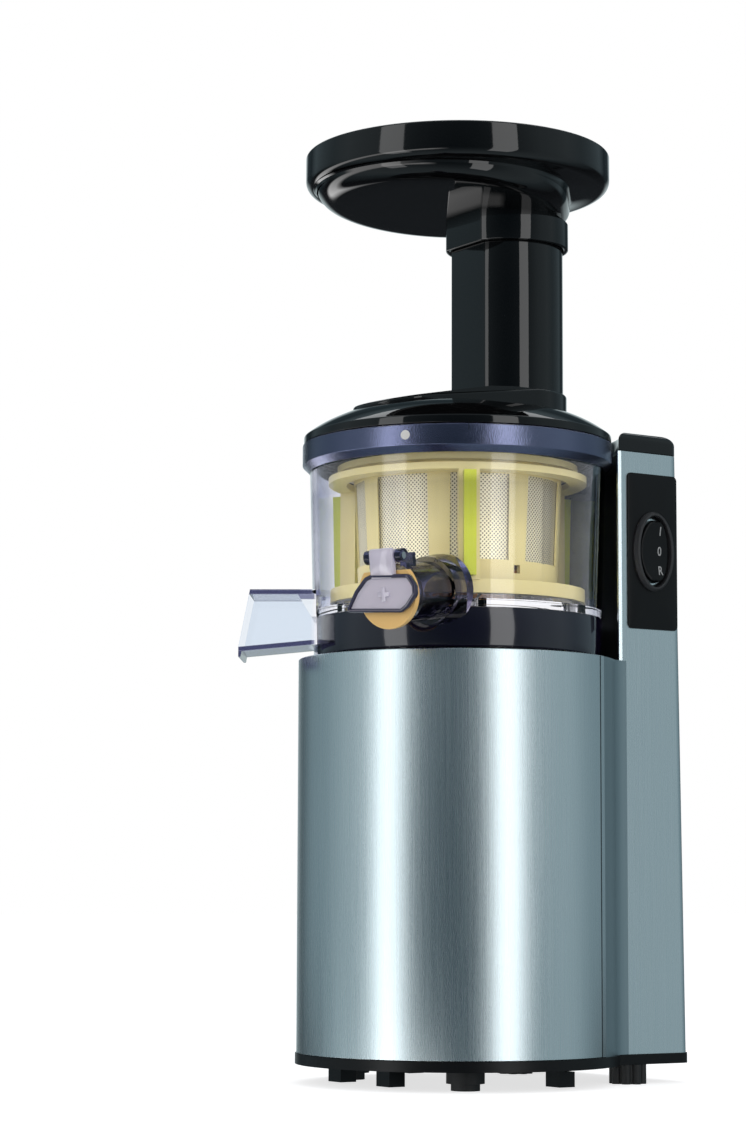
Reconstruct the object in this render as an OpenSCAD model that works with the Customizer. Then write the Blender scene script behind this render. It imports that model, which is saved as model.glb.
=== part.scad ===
// Vertical slow juicer: drum with motor and gearbox, rear column with the switch,
// clear bowl with strainer, brush and auger, lid with feed tube, and hopper.
// Millimetres, +Z up. Everything is drawn round the drum's axis with the column
// towards +Y; place() then moves it so that the origin is the middle of the footprint.

/* [Drum and base] */
// Outer radius of the steel drum
drum_r = 71; // [69:0.5:78]
// Height of the steel wrap round the drum
drum_h = 173; // [165:1:200]
// Thickness of the steel sheet
sheet_t = 1; // [0.8:0.1:1.4]
// Height of the rubber feet
foot_h = 8.5; // [6:0.5:12]
// Height of the black rim of the base plate
rim_h = 4.5; // [4:0.5:7]
// How far the rim stands out past the steel
rim_lip = 0.6; // [0:0.1:1.5]
// Wall of the moulded chassis inside the steel
chassis_t = 3; // [2:0.25:3.5]
// Angle from +X to the edge of the front wrap
seam_angle = 30; // [24:1:34]

/* [Column] */
// Width of the column across X
column_w = 96; // [90:1:104]
// Distance from the drum's axis to the column's rear at its foot
column_back = 93; // [90:1:110]
// Rise of the column above the drum
column_rise = 94; // [90:1:110]
// Height of the black cap
cap_h = 9; // [6:0.5:14]
// Forward lean of the rear wall, in degrees
column_lean = 0.8; // [0:0.1:1.5]
// Radius of the rear corners
column_corner_r = 5.5; // [4.5:0.5:12]
// Running gap between the bowl's flange and the column
column_gap = 2.8; // [2:0.1:4]

/* [Switch] */
// Width of the switch plate
plate_w = 28.5; // [26:0.5:31]
// Height of the switch plate
plate_h = 70.5; // [60:0.5:74]
// Width of the oval bezel
bezel_w = 23; // [20:0.5:25]
// Height of the oval bezel
bezel_h = 36; // [34:0.5:42]
// Width of the rocker
rocker_w = 16; // [13:0.5:17]
// Height of the rocker
rocker_h = 30; // [27:0.5:31]

/* [Bowl] */
// Outer radius of the bowl just under its flange
bowl_r = 66.4; // [66:0.1:67]
// How much narrower the bowl is at its foot
bowl_draft = 2.2; // [1.5:0.1:2.4]
// Wall of the bowl
bowl_wall = 2.6; // [2.2:0.1:2.8]
// Height from the drum to the top of the flange
bowl_h = 96.5; // [95:0.5:98]
// Outer radius of the flange
flange_r = 69.7; // [69:0.1:70.5]
// Height of the flange's upright band
flange_h = 8.8; // [8:0.2:9.5]
// Height from the drum to the underside of the bowl's floor
floor_rise = 18.5; // [18:0.5:19]
// Thickness of the bowl's floor
floor_t = 3.5; // [3:0.25:4]

/* [Spouts] */
// Heading of the juice spout, in degrees from +X
juice_heading = -70; // [-74:1:-66]
// Where the spout leaves the wall, in degrees from +X
juice_place = -44; // [-47:1:-41]
// Length of the juice spout
juice_len = 30; // [26:1:34]
// Fall of the juice spout, in degrees
juice_fall = 8; // [4:1:10]
// Outer radius of the juice spout
juice_r = 12.5; // [12:0.25:13.5]
// Radius of the juice channel
juice_bore_r = 8; // [7:0.25:9]
// Heading of the pulp spout, in degrees from +X
pulp_heading = -125; // [-129:1:-121]
// Reach of the pulp spout from the drum's axis
pulp_reach = 97; // [90:1:106]
// Width of the pulp spout
pulp_w = 34; // [30:1:36]
// Wall of the spouts
spout_wall = 2; // [1.6:0.1:2.4]

/* [Auger, strainer and brush] */
// Radius over the auger's flights at the foot
auger_r = 41; // [38:0.25:41.4]
// Radius over the auger's flights at the top
auger_top_r = 34; // [28:0.5:38]
// Turns of the auger's flights
auger_turns = 1.6; // [1:0.1:2]
// Outer radius of the strainer at its foot
strainer_r = 44.6; // [44.2:0.1:44.8]
// Wall of the strainer
strainer_wall = 2.2; // [1.8:0.1:2.4]
// Thickness of the wiper blades
wiper_t = 2.2; // [1.6:0.1:2.6]
// Teeth of the gear under the auger
auger_teeth = 24; // [24]
// Teeth of the idler in the bowl
idler_teeth = 13; // [13]
// Module of the bowl's gears
bowl_module = 2; // [2]

/* [Lid and hopper] */
// Height of the lid's upright rim band
lid_band = 3.5; // [2.5:0.25:5]
// Rise of the lid's dome over its band
dome_rise = 13.5; // [10:0.5:16]
// Wall of the lid
lid_wall = 2.6; // [2:0.1:3.2]
// Distance from the drum's axis to the middle of the feed tube
tube_y = 27.8; // [27:0.2:29]
// Outer radius of the feed tube
tube_r = 25.5; // [24:0.25:27]
// Distance from the tube's middle to its flat front
tube_flat = 22; // [21:0.25:22.5]
// Height from the drum to the top of the feed tube
tube_rise = 202; // [195:1:210]
// Wall of the feed tube
tube_wall = 2.6; // [2:0.1:3]
// Outer radius of the hopper
hopper_r = 69; // [66:0.5:72]
// Height of the hopper over the feed tube
hopper_h = 27.5; // [26:0.5:33]
// Depth of the hopper's rim wall
hopper_rim = 15.5; // [12:0.5:17]

/* [Drive] */
// Radius of the round part of the drive shaft
shaft_r = 7.5; // [7.2:0.1:7.8]
// Width across the flats of the drive hexagon
hex_af = 12; // [11:0.25:12.4]
// Distance from the shaft to each layshaft
lay_r = 30; // [30]
// Length of the stator stack
stack_h = 50; // [40:1:56]

/* [Fits] */
// Clearance of running fits, on the radius
run_gap = 0.06; // [0.03:0.01:0.09]
// Gap between pieces that seat in each other
seat_gap = 0.1; // [0.05:0.01:0.2]
// Gap between pieces of different bodies
body_gap = 0.35; // [0.3:0.05:0.5]

/* [Hidden] */
$fn = 96;
egg_steps = 36;
over = 1;            // how far a cutting shape runs past the face it cuts
press_gap = 0.02;    // on the radius of pins and hubs that are pressed home

// Heights from the floor
rim_z = foot_h;
wrap_z = rim_z + rim_h;
deck_z = wrap_z + drum_h;
column_top = deck_z + column_rise;
floor_z = deck_z + floor_rise;         // underside of the bowl's floor
bed_z = floor_z + floor_t;             // top of the bowl's floor
bowl_foot = deck_z + 1;
bowl_top = deck_z + bowl_h;
lid_z = bowl_top + body_gap;
tube_top = deck_z + tube_rise;
hopper_top = tube_top + hopper_h;

// Steel and chassis
chassis_r = drum_r - sheet_t - seat_gap;
chassis_in = chassis_r - chassis_t;
deck_t = 3.5;
liner_gap = 1.5;                        // at least this far from the drum
// hollow face of the column, clear of the bowl's flange and of the drum
liner_r = max(flange_r + column_gap, drum_r + liner_gap);
frame_t = 2.5;
wall_in = sheet_t + seat_gap + frame_t;    // from the column's outside to its inside
inner_y = liner_r + frame_t + 1;
boss_h = floor_rise - 2.5;             // deck boss under the bowl
boss_r = bowl_r - bowl_draft - bowl_wall - 1.6;
boss_wall = 3;
hub_r = 14;

// Feet: round ones under the drum, lobed ones under the column
front_foot = [44.5, -27];
rear_foot = [42, 62];
foot_r = 8.2;
foot_tread_r = 6.2;
foot_step = 3;
stem_r = 3;
block_places = [[19, -48], [57, 13.6]];

// Switch on the column's +X side
switch_y = 73;
switch_z = deck_z + 49.5;
side_x = column_w / 2;
rocker_pivot_x = side_x - 3.4;
trunnion_r = 1.4;
switch_deep = 10;
socket_w = rocker_w + 0.4;             // switch body behind the plate
socket_h = rocker_h + 2.8;

// Bowl gears
ring_teeth = auger_teeth + 2 * idler_teeth;
idler_r = bowl_module * (auger_teeth + idler_teeth) / 2;
idler_angle = 90;
gear_low = bed_z + 3;
gear_t = 6;
gear_top = gear_low + gear_t;
auger_pitch_r = bowl_module * auger_teeth / 2;
ring_pitch_r = bowl_module * ring_teeth / 2;

// Tooth form shared by all gears
pressure = 25;
addendum = 0.8;
dedendum = 1.05;
backlash = 0.16;                        // per module, on each flank's arc
flank_steps = 3;

// Strainer and brush
strainer_low = gear_top + 1;
strainer_top = bowl_foot + 85.5;
strainer_floor_t = 3;
strainer_draft = 2.4;
strainer_hole_r = auger_pitch_r + addendum * bowl_module + 1.4;
ledge_r = strainer_hole_r + 0.5;        // ring that carries the strainer
ledge_t = 2.4;
kidney_mid = 37.5;
kidney_r = 5.5;
kidney_half = 17;
kidney_wall = 1.8;
brush_in = 50;
brush_out = 58;
brush_top = strainer_top - 5;
bar_count = 3;
bar_w = 9;

// Auger
auger_low = gear_top;
auger_disc_r = auger_pitch_r + addendum * bowl_module + 0.4;
auger_disc_t = 4.4;
auger_high = bowl_top - 11;
core_low_r = 27;
core_top_r = 13;
pin_r = 4;
socket_r = 12;
socket_low = bed_z + 7.8;
socket_top = socket_low + 32.7;
hex_low = bed_z + 5.5;
hex_top = socket_top - 4;
hex_r = hex_af / 2 / cos(30);

// Juice spout, in its own frame: +Z out along the channel, +X down
juice_z = deck_z + 25;
juice_start = [drum_r - 4, juice_place];
juice_at = [juice_start[0] * cos(juice_place), juice_start[0] * sin(juice_place), juice_z];
collar_r = 15.5;
hinge_up = juice_r + 3.2;
hinge_out = juice_len + 2;
hinge_pin_r = 1.5;
flap_t = 3;
flap_half = 16.4;
flap_up = 8.8;
flap_down = 8;
flap_tip = 19.6;
plug_r = juice_r + 2.1;
tab_half = 6;

// Pulp spout
pulp_floor = deck_z + 8;
pulp_drop = 3;
pulp_roof = deck_z + 30.5;

// Lid, tube and hopper
lid_r = flange_r - 0.5;
dome_r = (pow(lid_r, 2) + pow(dome_rise, 2)) / (2 * dome_rise);
dome_z = lid_z + lid_band + dome_rise - dome_r;
lid_boss_top = deck_z + 122.5;
counterbore_r = bowl_r + 0.6;
counterbore_h = 6.5;
lid_hub_r = 7.6;
hub_wall = 1.8;
bush_h = 8.8;
magnet_w = 10;
dome_steps = 14;
boss_grow = 1.6;
chute_foot_r = strainer_wall_r(strainer_top) - strainer_wall - 1;
sleeve_wall = 2.2;
sleeve_h = 12;
sleeve_r = tube_r + body_gap + sleeve_wall;
hopper_wall = 2.5;
ledge_z = hopper_top - hopper_rim;
trough_r = 57;
trough_end_r = sleeve_r + 0.8;
trough_y = -8.5;

// Drive train
motor_low = wrap_z + 14;
stack_low = wrap_z + 29;
stack_top = stack_low + stack_h;
stator_r = 42;
rotor_r = 24;
air_gap = 0.5;
rotor_shaft_r = 4;
case_z = wrap_z + 105;                  // underside of the gearbox
case_t = 4;
post_room = 5.9;                        // between the gearbox and the chassis
case_r = chassis_in - post_room;
case_wall = 3;
stage_1 = case_z + 10;
stage_2 = stage_1 + 9;
stage_3 = stage_2 + 10;
cover_z = stage_3 + 19;
cover_t = 4;
m1 = 1;
m2 = 1.25;
m3 = 1.5;
pinion_1 = 12;
wheel_1 = 2 * lay_r / m1 - pinion_1;
pinion_2 = 13;
wheel_2 = 39;
pinion_3 = 12;
wheel_3 = 2 * lay_r / m3 - pinion_3;
lay_gap = m2 * (pinion_2 + wheel_2) / 2;
lay_1 = 200;
lay_2 = lay_1 + 2 * asin(lay_gap / 2 / lay_r);
lay_pin_r = 3;
lay_hub_r = 5;
hub_z = case_z + case_t + 1.3;         // the clusters' hubs, with end play
hub_h = cover_z - 1.3 - hub_z;
wheel_t = 7;
bolt_r = 2;
at_1 = [lay_r * cos(lay_1), lay_r * sin(lay_1)];
at_2 = [lay_r * cos(lay_2), lay_r * sin(lay_2)];
lay_line = atan2(at_2[1] - at_1[1], at_2[0] - at_1[0]);
bearing_r = 14;
bearing_h = 7;
bolt_places = [for (a = [45 : 90 : 315]) [47 * cos(a), 47 * sin(a)]];
post_places = [for (a = [15 : 90 : 285]) [a, chassis_in - 4.5]];

// Cord inlet low on the rear wall
inlet_z = wrap_z + 20;
inlet_r = 8;
inlet_bore_r = 3.6;
inlet_out = 2.4;

// Control board on the column's rear wall
board_y = column_back - 12;
board_z = wrap_z + 45;
board_t = 1.6;
function rear_y(z) = column_back - (z - wrap_z) * tan(column_lean);

// Middle of the footprint, where the origin stands
flap_reach = juice_len + 2 + flap_t + 2;
x_high = juice_at[0] + flap_reach * cos(juice_heading) * cos(juice_fall)
    - flap_half * sin(juice_heading);
x_low = -drum_r - rim_lip;
y_high = column_back + inlet_out;
y_low = pulp_reach * sin(pulp_heading) - pulp_w / 2 * cos(pulp_heading - 180);
centre = [(x_low + x_high) / 2, (y_low + y_high) / 2];

// ---------------------------------------------------------------- helpers

module place() translate([-centre[0], -centre[1], 0]) children();

module ring(r_out, r_in, h) {
    difference() {
        cylinder(r = r_out, h = h);
        translate([0, 0, -over]) cylinder(r = r_in, h = h + 2 * over);
    }
}

// Rectangle with round corners, from true arcs
module round_box(low, high, r) {
    translate([low[0] + r, low[1]]) square([high[0] - low[0] - 2 * r, high[1] - low[1]]);
    translate([low[0], low[1] + r]) square([high[0] - low[0], high[1] - low[1] - 2 * r]);
    for (x = [low[0] + r, high[0] - r], y = [low[1] + r, high[1] - r])
        translate([x, y]) circle(r = r);
}

// Circle of radius r at the origin and one of radius r2 at y2, with their tangents
module egg(r, r2, y2) {
    lean = asin((r - r2) / y2);
    polygon(concat(
        arc_points(r, 0, 180 - lean, 360 + lean, egg_steps),
        arc_points(r2, y2, lean, 180 - lean, egg_steps / 2)));
}

// Points on an arc of radius r round [0, y], from angle a to angle b
function arc_points(r, y, a, b, steps) = [
    for (i = [0 : steps])
        let (t = a + (b - a) * i / steps) [r * cos(t), y + r * sin(t)]];

// Circle with a flat on its front
module d_shape(r, flat) {
    difference() {
        circle(r = r);
        translate([-r - over, -flat - 2 * r]) square([2 * r + 2 * over, 2 * r]);
    }
}

// Plan of drum and column together
module footprint(grow) {
    circle(r = drum_r + grow);
    round_box([-side_x - grow, 0], [side_x + grow, column_back + grow], column_corner_r + grow);
}

// Leaning prism of the column, open far towards the drum, drawn in from corners of outer_r
module column_prism(inset, outer_r) {
    translate([0, column_back, wrap_z]) rotate([column_lean, 0, 0])
        translate([0, 0, -drum_h]) linear_extrude(4 * drum_h)
            round_box([-side_x + inset, -2 * column_back], [side_x - inset, -inset],
                outer_r - inset);
}

// Part of the column between two heights, with its hollow face towards the bowl
module column_block(inset, low, high, face_r) {
    difference() {
        intersection() {
            column_prism(inset, column_corner_r);
            translate([-column_w, 30, low]) cube([2 * column_w, 2 * column_back, high - low]);
        }
        translate([0, 0, low - over]) cylinder(r = face_r, h = high - low + 2 * over);
    }
}

// Oval prism along +X
module oval(w, h, depth) {
    rotate([90, 0, 90]) linear_extrude(depth)
        polygon([for (a = [0 : 7.5 : 359]) [w / 2 * cos(a), h / 2 * sin(a)]]);
}

// Angle between a point on an involute and its start, in degrees
function involute(base, r) =
    let (a = acos(min(1, base / r))) tan(a) * 180 / PI - a;

// Half the angle of a tooth at radius r; extra widens it by an arc at the pitch circle
function half_tooth(n, m, r, extra) =
    let (pitch = n * m / 2, base = pitch * cos(pressure))
    90 / n + extra / pitch * 180 / PI + involute(base, pitch) - involute(base, max(r, base));

// Outline of n teeth between two radii
function gear_points(n, m, low, high, extra) = [
    for (k = [0 : n - 1])
        for (side = [-1, 1])
            for (i = [0 : flank_steps])
                let (
                    step = side < 0 ? i : flank_steps - i,
                    r = low + (high - low) * step / flank_steps,
                    a = 360 * k / n + side * half_tooth(n, m, r, extra))
                [r * cos(a), r * sin(a)]];

module gear_outline(n, m) {
    pitch = n * m / 2;
    polygon(gear_points(n, m, pitch - dedendum * m, pitch + addendum * m, -backlash * m / 2));
}

module gear(n, m, h) linear_extrude(h) gear_outline(n, m);

// Bearing with its rings and shields in one
module bearing(r_out, r_in, h) {
    difference() {
        ring(r_out, r_in, h);
        for (z = [-over, h - 0.6])
            translate([0, 0, z]) ring(r_out - 2, r_in + 2, 0.6 + over);
    }
}

// Screw with a pan head, pointing up from its head
module screw(r, length, head_r, head_h) {
    difference() {
        union() {
            cylinder(r = head_r, h = head_h);
            translate([0, 0, head_h]) cylinder(r = r, h = length);
        }
        for (a = [0, 90]) rotate([0, 0, a])
            translate([-head_r * 0.6, -0.5, -over]) cube([head_r * 1.2, 1, over + head_h * 0.6]);
    }
}

// ---------------------------------------------------------------- base

module base_plate() {
    color("#1b1b1d") difference() {
        union() {
            translate([0, 0, rim_z]) linear_extrude(rim_h) footprint(rim_lip);
            translate([0, 0, wrap_z]) ring(chassis_in - seat_gap, chassis_in - 2.5, 5);
            for (p = block_places, s = [-1, 1])
                translate([s * p[0] - 5, p[1] - 4, 1]) cube([10, 8, rim_z - 1]);
        }
        for (x = [-24 : 8 : 24])
            translate([x - 1.5, -18, rim_z - over]) cube([3, 36, rim_h + 2 * over]);
        for (p = post_places) rotate([0, 0, p[0]]) translate([p[1], 0, rim_z - over]) {
            cylinder(r = 2.2, h = rim_h + 10);
            cylinder(r = 4.2, h = 2.4 + over);
        }
        for (p = [front_foot, rear_foot], s = [-1, 1])
            translate([s * p[0], p[1], rim_z - over]) cylinder(r = stem_r + seat_gap, h = rim_h);
    }
}

module rubber_feet() {
    color("#111112") for (s = [-1, 1]) {
        translate([s * front_foot[0], front_foot[1], 0]) {
            cylinder(r = foot_tread_r, h = foot_step);
            translate([0, 0, foot_step]) cylinder(r = foot_r, h = foot_h - foot_step);
            translate([0, 0, foot_h]) cylinder(r = stem_r, h = rim_h - over - seat_gap);
        }
        translate([s * rear_foot[0], rear_foot[1], 0]) {
            linear_extrude(foot_h) {
                circle(r = foot_tread_r);
                for (a = [0 : 45 : 315]) rotate(a) translate([foot_tread_r, 0]) circle(r = 2);
            }
            translate([0, 0, foot_h]) cylinder(r = stem_r, h = rim_h - over - seat_gap);
        }
    }
}

module base_screws() {
    color("#8d9094") for (p = post_places)
        rotate([0, 0, p[0]]) translate([p[1], 0, rim_z]) screw(1.9, 12, 3.8, 2.3);
}

module front_wrap() {
    color("#aab2b8") rotate([0, 0, 180 - seam_angle])
        rotate_extrude(angle = 180 + 2 * seam_angle)
            translate([drum_r - sheet_t, wrap_z]) square([sheet_t, drum_h]);
}

module column_wrap() {
    color("#aab2b8") difference() {
        column_block(0, wrap_z, column_top, liner_r);
        column_prism(sheet_t, column_corner_r);
        translate([0, switch_y, switch_z]) translate([side_x - 3, -plate_w / 2, -plate_h / 2])
            cube([6, plate_w, plate_h]);
        translate([0, column_back + 5, inlet_z]) rotate([90, 0, 0])
            cylinder(r = inlet_r - 2, h = 20);
    }
}

module drum_chassis() {
    color("#202022") difference() {
        union() {
            translate([0, 0, wrap_z]) ring(chassis_r, chassis_in, drum_h - deck_t);
            translate([0, 0, case_z - 4]) ring(chassis_in + 0.5, case_r - 4, 4);
            for (p = post_places) rotate([0, 0, p[0]]) {
                translate([p[1], 0, wrap_z]) cylinder(r = 4, h = 30);
                translate([p[1], -2, wrap_z]) cube([chassis_in - p[1] + 0.5, 4, 30]);
                translate([p[1], 0, deck_z - deck_t - 10]) cylinder(r = 4, h = 10);
                translate([p[1], -2, deck_z - deck_t - 10]) cube([chassis_in - p[1] + 0.5, 4, 10]);
            }
        }
        translate([-28, 40, wrap_z + 20]) cube([56, 60, 70]);
        for (p = post_places) rotate([0, 0, p[0]]) translate([p[1], 0, 0]) {
            translate([0, 0, wrap_z - over]) cylinder(r = 2, h = 14);
            translate([0, 0, deck_z - deck_t - 12]) cylinder(r = 2, h = 20);
        }
        for (a = [0 : 90 : 270]) rotate([0, 0, a + 60])
            translate([case_r - 2, 0, case_z - 5]) cylinder(r = 1.6, h = 6);
        translate([0, 0, wrap_z - over]) ring(chassis_in, chassis_in - 2.8, 5 + over + seat_gap);
    }
}

// ---------------------------------------------------------------- column

module column_frame() {
    color("#1c1c1e") difference() {
        column_block(sheet_t + seat_gap, wrap_z, column_top, liner_r);
        difference() {
            column_prism(sheet_t + seat_gap + frame_t, column_corner_r);
            cylinder(r = liner_r + frame_t, h = column_top + over);
        }
        translate([-28, 40, wrap_z + 20]) cube([56, 60 - frame_t - 10, 70]);
        translate([side_x - 6, switch_y - socket_w / 2 - 0.5, switch_z - socket_h / 2 - 0.3])
            cube([8, socket_w + 1, socket_h + 0.6]);
        translate([0, column_back + 5, inlet_z]) rotate([90, 0, 0])
            cylinder(r = inlet_r - 2, h = 20);
    }
}

module column_cap() {
    top_r = 4;
    color("#0b0b0d") difference() {
        union() {
            column_block(0, column_top, column_top + cap_h - top_r, liner_r);
            column_block(1.2, column_top, column_top + cap_h - 1.2, liner_r + 0.6);
            column_block(top_r, column_top, column_top + cap_h, liner_r + 1.2);
            column_block(sheet_t + seat_gap + frame_t + seat_gap, column_top - 5, column_top + 1,
                liner_r + frame_t + seat_gap);
        }
        difference() {
            column_prism(8, 9.5);
            cylinder(r = liner_r + 6, h = 2 * column_top);
            translate([-column_w, 0, column_top + cap_h - 3.5]) cube([2 * column_w, 200, 20]);
        }
    }
}

module control_board() {
    color("#1f6b3a") {
        translate([-30, board_y, board_z]) cube([60, board_t, 90]);
        for (x = [-25, 25], z = [board_z + 5, board_z + 85])
            translate([x, board_y + board_t, z]) rotate([-90, 0, 0])
                cylinder(r = 2.5, h = rear_y(z) - wall_in - board_y - board_t - 0.25);
        translate([-22, board_y - 5, board_z + 10]) cube([16, 5, 14]);
        translate([6, board_y - 5, board_z + 15]) cube([14, 5, 22]);
        translate([-18, board_y - 5, board_z + 55]) cube([30, 5, 12]);
    }
}

module run_capacitor() {
    color("#d7d3c8") {
        translate([-40, inner_y, wrap_z]) cube([28, 12, 34]);
        for (x = [-34, -18]) translate([x, inner_y + 6, wrap_z + 34]) cylinder(r = 1.5, h = 6);
    }
}

module reed_switch() {
    color("#3a3f46") translate([0, liner_r + frame_t + seat_gap, bowl_top - 14])
        difference() {
            translate([-9, 0, -7]) cube([18, 6, 12]);
            for (x = [-5, 5]) translate([x, -over, 0]) rotate([-90, 0, 0]) cylinder(r = 1.2, h = 9);
        }
}

module cord_inlet() {
    color("#141416") translate([0, column_back + inlet_out, inlet_z]) rotate([90, 0, 0])
        difference() {
            union() {
                cylinder(r = inlet_r, h = inlet_out + 0.1);
                cylinder(r = inlet_r - 2 - seat_gap, h = 12);
                translate([0, 0, inlet_out + 4.6]) cylinder(r = inlet_r - 0.5, h = 3);
            }
            translate([0, 0, -over]) cylinder(r = inlet_bore_r, h = 20);
        }
}

// Leads from the control board through the window to the motor, as one bundle.
// The route lies in one plane across X, so each ring is set by X and the path's normal.
module wiring_loom() {
    r = 2.2;
    sides = 8;
    x = 13;
    route = [
        [board_y - 1.3, board_z + 5], [board_y - 7, board_z + 1], [66, board_z - 1],
        [58, board_z], [50, board_z + 3], [41.5, board_z + 5]];
    last = len(route) - 1;
    points = [
        for (i = [0 : last])
            let (
                d = route[min(i + 1, last)] - route[max(i - 1, 0)],
                up = [-d[1], d[0]] / norm(d))
            for (k = [0 : sides - 1])
                [x + r * cos(360 * k / sides), route[i][0] + r * up[0] * sin(360 * k / sides),
                    route[i][1] + r * up[1] * sin(360 * k / sides)]];
    faces = concat(
        [[for (k = [sides - 1 : -1 : 0]) k]],
        [for (i = [0 : last - 1]) for (k = [0 : sides - 1])
            [i * sides + k, i * sides + (k + 1) % sides, (i + 1) * sides + (k + 1) % sides,
                (i + 1) * sides + k]],
        [[for (k = [0 : sides - 1]) last * sides + k]]);
    color("#c9bfa8") polyhedron(points = points, faces = faces, convexity = 4);
}

// ---------------------------------------------------------------- switch

module switch_plate() {
    color("#18181a") difference() {
        translate([side_x - sheet_t, switch_y, switch_z]) rotate([90, 0, 90])
            linear_extrude(sheet_t + 0.6)
                round_box([-plate_w / 2 + seat_gap, -plate_h / 2 + seat_gap],
                    [plate_w / 2 - seat_gap, plate_h / 2 - seat_gap], 2);
        translate([side_x - 6, switch_y, switch_z]) oval(rocker_w + 3, rocker_h + 3.4, 12);
    }
}

module switch_bezel() {
    color("#101012") difference() {
        union() {
            translate([side_x + 0.6, switch_y, switch_z]) oval(bezel_w, bezel_h, 1.4);
            translate([side_x + 2, switch_y, switch_z]) oval(bezel_w - 2.4, bezel_h - 2.4, 1.4);
        }
        translate([side_x - over, switch_y, switch_z]) oval(rocker_w + 1.8, rocker_h + 2.2, 8);
    }
}

// Moulded body of the switch, with the trunnion sockets and three tabs
module switch_body() {
    color("#2a2a2d") difference() {
        union() {
            translate([side_x - switch_deep, switch_y - socket_w / 2, switch_z - socket_h / 2])
                cube([switch_deep - sheet_t - seat_gap, socket_w, socket_h]);
            for (z = [-9, 0, 9])
                translate([side_x - switch_deep - 6, switch_y - 2, switch_z + z - 0.4])
                    cube([7, 6, 0.8]);
        }
        translate([side_x - switch_deep + 1.5, switch_y - socket_w / 2 + 0.8,
            switch_z - socket_h / 2 + 0.9])
            cube([switch_deep, socket_w - 1.6, socket_h - 1.8]);
        translate([rocker_pivot_x, switch_y - 20, switch_z]) rotate([-90, 0, 0])
            cylinder(r = trunnion_r + run_gap, h = 40);
    }
}

module switch_rocker() {
    reach = rocker_h / 2;
    color("#0e0e10") {
        intersection() {
            union() {
                translate([side_x + 0.2, switch_y, switch_z]) oval(rocker_w, rocker_h, 8);
                translate([side_x - 6.4, switch_y - rocker_w / 2 + 1.2, switch_z - 8.5])
                    cube([6.8, rocker_w - 2.4, 17]);
            }
            translate([rocker_pivot_x, switch_y + rocker_w, switch_z]) rotate([90, 0, 0])
                cylinder(r = reach, h = 2 * rocker_w);
            translate([side_x - 9, switch_y - rocker_w, switch_z - rocker_h]) difference() {
                cube([12.4, 2 * rocker_w, 2 * rocker_h]);
                translate([9 + 60, -over, rocker_h]) rotate([-90, 0, 0])
                    cylinder(r = 57.9, h = 3 * rocker_w);
            }
        }
        translate([rocker_pivot_x, switch_y - rocker_w / 2 - 0.15, switch_z]) rotate([-90, 0, 0])
            cylinder(r = trunnion_r, h = rocker_w + 0.3);
    }
}

// ---------------------------------------------------------------- deck

module top_deck() {
    color("#141416") difference() {
        union() {
            translate([0, 0, deck_z - deck_t]) cylinder(r = chassis_r, h = deck_t);
            translate([0, 0, deck_z]) cylinder(r = boss_r, h = boss_h);
            translate([0, 0, deck_z - 5]) cylinder(r = bearing_r + 3, h = 5 + boss_h);
        }
        difference() {
            translate([0, 0, deck_z - deck_t - over])
                cylinder(r = boss_r - boss_wall, h = boss_h + deck_t + over - boss_wall);
            translate([0, 0, deck_z - 6]) cylinder(r = bearing_r + 3, h = 6 + boss_h);
            pulp_clearance(boss_wall);
            juice_clearance(boss_wall);
        }
        pulp_clearance(0);
        juice_clearance(0);
        translate([0, 0, deck_z - 6]) cylinder(r = shaft_r + 1, h = boss_h + 10);
        translate([0, 0, deck_z - 6]) cylinder(r = bearing_r + seat_gap, h = bearing_h + 2);
        translate([0, 0, deck_z + boss_h - 6]) cylinder(r = bearing_r - 2 + seat_gap, h = 10);
        for (p = post_places) rotate([0, 0, p[0]]) translate([p[1], 0, deck_z - deck_t - over])
            cylinder(r = 2.2, h = 10);
        for (p = post_places) rotate([0, 0, p[0]]) translate([p[1], 0, deck_z - 1.6])
            cylinder(r = 4, h = 10);
    }
}

// Room in the deck's boss for the pulp channel of the bowl
module pulp_clearance(grow) {
    rotate([0, 0, pulp_heading])
        translate([kidney_mid - kidney_r - 4 - grow, -pulp_w / 2 - 1.5 - grow,
            pulp_floor - spout_wall - 1.2 - grow])
            cube([60, pulp_w + 3 + 2 * grow, 40]);
}

// Room in the deck's boss for the sump under the juice channel
module juice_clearance(grow) {
    at_juice() translate([0, 0, -26 - grow])
        cylinder(r = juice_bore_r + spout_wall + 1.2 + grow, h = 60);
}

module deck_screws() {
    color("#8d9094") for (p = post_places)
        rotate([0, 0, p[0]]) translate([p[1], 0, deck_z - 0.1]) rotate([180, 0, 0])
            screw(1.9, 12, 3.6, 1.4);
}

module shaft_seal() {
    color("#3b3b3e") translate([0, 0, deck_z + boss_h - 6 + 0.1])
        ring(bearing_r - 2, shaft_r + run_gap, 5.9);
}

// ---------------------------------------------------------------- motor

module stator_core() {
    color("#8f9499") translate([0, 0, stack_low]) difference() {
        union() {
            cylinder(r = stator_r, h = stack_h);
            for (p = bolt_places) translate([p[0], p[1], 0]) cylinder(r = 6, h = stack_h);
        }
        for (p = bolt_places) translate([p[0], p[1], -over])
            cylinder(r = bolt_r + seat_gap, h = stack_h + 2 * over);
        translate([0, 0, -over]) cylinder(r = rotor_r + air_gap, h = stack_h + 2 * over);
        for (a = [0 : 30 : 330]) rotate([0, 0, a])
            translate([rotor_r + 2.5, -2, -over]) cube([9, 4, stack_h + 2 * over]);
    }
}

module field_coils() {
    color("#b06a34") for (z = [stack_low - 11, stack_top])
        translate([0, 0, z]) difference() {
            cylinder(r = 38, h = 11);
            translate([0, 0, -over]) cylinder(r = rotor_r + 3, h = 11 + 2 * over);
            for (a = [0 : 30 : 330]) rotate([0, 0, a])
                translate([rotor_r, -0.8, -over]) cube([20, 1.6, 3]);
        }
}

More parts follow.
